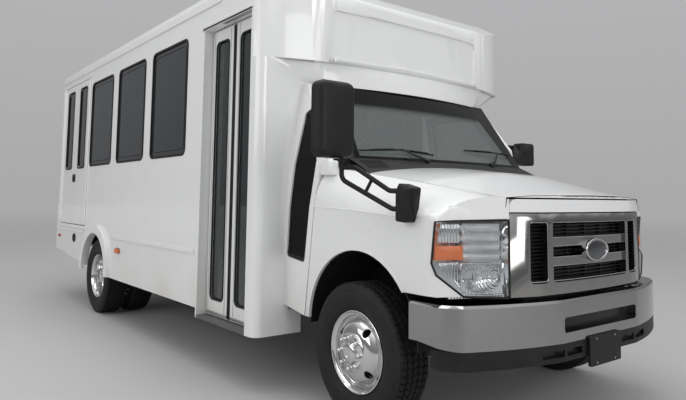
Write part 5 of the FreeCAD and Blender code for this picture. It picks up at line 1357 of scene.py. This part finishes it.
paneSeal("cabPaneSeal", "cab_glass", "chassis", -1)
paneSeal("driverPaneSeal", "driver_door_glass", "driver_door", 1)
windowForm = {"firstX": -1829, "pitch": 911, "width": 714, "panes": ((-1, 3), (1, 4))}  # panes: side, count
lines, catches = [], []
for side, count in windowForm["panes"]:
    for pane in range(count):
        front = windowForm["firstX"] - windowForm["pitch"] * pane
        rear = front - windowForm["width"]
        lines.append(tube("windowLine", upright((rear + 36, front - 36), side * 1211, (1570, 2388), 46), 3.5,
                          True, 8))
        for x in (rear + 120, front - 120):
            catches.append(block("catch", (x - 24, x + 24), (side * 1196, side * 1206), (1540, 1562), 4))
finishPiece(joined("windowLines", lines + catches), "rubber", "chassis", 50)
drip = [block("dripCap", (-1548, -806), (-1233, -1217), (2442, 2456), 5, 3),
        block("dripCap", (-1548, -1536), (-1230, -1217), (2424, 2450), 4)]
finishPiece(joined("dripCap", drip), "gelcoat", "chassis", 40)
# A black strip under the drip cap is painted shade where the cap overhangs the wall
under = block("dripUnderside", (-1540, -812), (-1228, -1217), (2437, 2442.5))
finishPiece(under, "rubber", "chassis", 40)
pulls = {"lift_front": ("liftPullFront", -4942), "lift_rear": ("liftPullRear", -5010)}
for body, (name, x) in pulls.items():
    pull = [block(name, (x - 22, x + 22), (-1225, -1217), (1356, 1448), 4, 3),
            block(name, (x - 12, x + 12), (-1229, -1221), (1376, 1428), 4, 3)]
    finishPiece(joined(name, pull), "blackTrim", body, 40)
screws = bolts("liftScrews", [at(x, -1219, z) for x, z in ((-5418, 2470), (-5418, 2440), (-5418, 820))],
               (0, -1, 0), 5, 4)
finishPiece(screws, "tubeSteel", "chassis", 30)
holder = [block("plateHolder", (-5670, -5659), (-810, -500), (806, 976), 4),
          block("plateHolder", (-5674, -5666), (-735, -575), (972, 986), 3)]
finishPiece(joined("plateHolder", holder), "blackPlastic", "chassis", 40)
finishPiece(block("blankPlate", (-5672.5, -5669), (-800, -510), (816, 966), 3), "leafPaint", "chassis",
            40)
grab = [(-640, -915, 940), (-640, -885, 960), (-560, -850, 1620), (-560, -885, 1650)]
grabRail = tube("cabGrabRail", [at(*place) for place in roundedPath(grab, 24, 5, False)], 11, False, 12)
finishPiece(grabRail, "tubeSteel", "chassis", 40)
for word, span in (("front", (-4845, -4583)), ("rear", (-5367, -5105))):
    ring = sealRing("liftSeal", (span[0] - 2, span[1] + 2), (1514, 2444), 36, -1217.5, 9)
    finishPiece(ring, "rubber", "lift_" + word, 60).name = "liftSeal" + word.title()
rails = []
for base, top in ((-1420, -1335), (-930, -1010)):
    path = [(base, -1062, 700), (base, -1026, 860), (top, -1004, 1760), (top, -940, 1850)]
    rails.append(tube("stepRail", [at(*place) for place in roundedPath(path, 60, 6, False)], 15, False, 12))
    rails.append(block("stepRailFoot", (base - 30, base + 30), (-1096, -1040), (694, 704), 3))
finishPiece(joined("stepRails", rails), "tubeSteel", "chassis", 40)
rearSeal = tube("rearDoorSeal", upright(-5660, (-302, 302), (1498, 2252), 60, "front"), 9, True, 8)
finishPiece(rearSeal, "rubber", "rear_door", 60)
hinges = []
for height in (1080, 1560, 2180):
    hinges.append(block("rearHinge", (-5664, -5659), (-502, -452), (height - 48, height + 48), 2))
    hinges.append(turned("rearHinge", [(0, -50), (6, -50), (7, -48), (7, 48), (6, 50), (0, 50)],
                         at(-5667, -452, height), (0, 0, 1), 20))
finishPiece(joined("rearHinges", hinges), "aluminium", "chassis", 35)
print("side trim made")


# Floor, light and camera

room = {
    "ground": (0.46, 0.46, 0.465), "sky": (0.50, 0.505, 0.515), "horizon": (0.40, 0.40, 0.405),
    "skyLight": 0.68, "reach": 80.0, "fadeStart": 14.0, "fadeEnd": 42.0,
    "mirrored": ((0.0, (0.20, 0.20, 0.205)), (0.45, (0.34, 0.345, 0.355)), (0.8, (0.95, 0.96, 0.98))),
}


def makeGround():
    putDown()
    bpy.ops.mesh.primitive_circle_add(vertices=64, radius=room["reach"], fill_type="NGON")
    ground = bpy.context.object
    ground.name = "studioFloor"
    finish = Finish("pale studio floor", room["ground"], roughness=0.75)
    finish.feed("Base Color", finish.blend(finish.noise(0.4, 2) * 0.1, room["ground"], (0.44, 0.44, 0.445)))
    glow = finish.node("ShaderNodeEmission", {}, {"Color": (*room["horizon"], 1), "Strength": 1.0})
    far = finish.node("ShaderNodeVectorMath", {"operation": "LENGTH"}, {0: finish.place}, "Value")
    share = finish.between(far, room["fadeStart"], room["fadeEnd"])
    output = finish.tree.nodes["Material Output"]
    mixed = finish.node("ShaderNodeMixShader", {},
                        {0: share, 1: Wire(finish, finish.shader.outputs[0]), 2: glow})
    finish.tree.links.new(mixed.socket, output.inputs["Surface"])
    ground.data.materials.append(finish.material)
    ground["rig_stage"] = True


def makeSky():
    # A plain light for all; what the camera sees is a pale wall, and what paint and glass mirror is a
    # darker wall with light overhead.
    world = bpy.data.worlds.new("studio")
    scene.world = world
    world.use_nodes = True
    sky = Nodes(world.node_tree)
    plain = sky.tree.nodes["Background"]
    plain.inputs["Color"].default_value = (1, 1, 1, 1)
    plain.inputs["Strength"].default_value = room["skyLight"]
    way = sky.node("ShaderNodeTexCoord", {}, {}, "Generated")
    height = sky.node("ShaderNodeSeparateXYZ", {}, {0: way}, "Z")
    camera, glossy, passing = [sky.node("ShaderNodeLightPath", {}, {}, "Is " + kind + " Ray")
                               for kind in ("Camera", "Glossy", "Transmission")]
    mirrored = sky.node("ShaderNodeMath", {"operation": "MAXIMUM"}, {0: glossy, 1: passing})
    last = Wire(sky, plain.outputs[0])
    wall = ((0.0, room["horizon"]), (0.6, room["sky"]))
    for stops, share in ((room["mirrored"], mirrored), (wall, camera)):
        ramp = sky.node("ShaderNodeValToRGB", {"stops": stops}, {"Fac": height})
        seen = sky.node("ShaderNodeBackground", {}, {"Color": ramp})
        last = sky.node("ShaderNodeMixShader", {}, {"Fac": share, 1: last, 2: seen})
    sky.tree.links.new(last.socket, sky.tree.nodes["World Output"].inputs["Surface"])


# name: place, aim, width, height, watts
softBoxes = {
    "overheadSoftBox": ((1.0, -1.0, 7.5), (0, 0, 1), 7.0, 5.0, 245),
    "kerbSoftBox": ((0.5, -8.5, 3.6), (0, 0, 1.4), 8.0, 3.0, 150),
    "noseSoftBox": ((9.5, -0.5, 3.4), (2, 0, 1.2), 4.5, 2.6, 150),
}


def makeLights():
    for name, (place, aim, width, height, watts) in softBoxes.items():
        light = bpy.data.lights.new(name, "AREA")
        light.shape = "RECTANGLE"
        light.size = width
        light.size_y = height
        light.energy = watts
        lamp = bpy.data.objects.new(name, light)
        scene.collection.objects.link(lamp)
        lamp.location = place
        lamp.rotation_euler = (Vector(aim) - Vector(place)).to_track_quat("-Z", "Y").to_euler()


def makeCamera():
    view = bpy.data.cameras.new("photo camera")
    view.sensor_width = 36.0
    view.lens = 32.03
    view.shift_y = -0.0835
    camera = bpy.data.objects.new("photoCamera", view)
    scene.collection.objects.link(camera)
    camera.location = (5.0716, -3.1354, 1.2003)
    camera.rotation_euler = [math.radians(turn) for turn in (95.2031, -0.6235, 52.0931)]
    scene.camera = camera


makeGround()
makeSky()
makeLights()
makeCamera()
print("studio set up")

low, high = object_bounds()
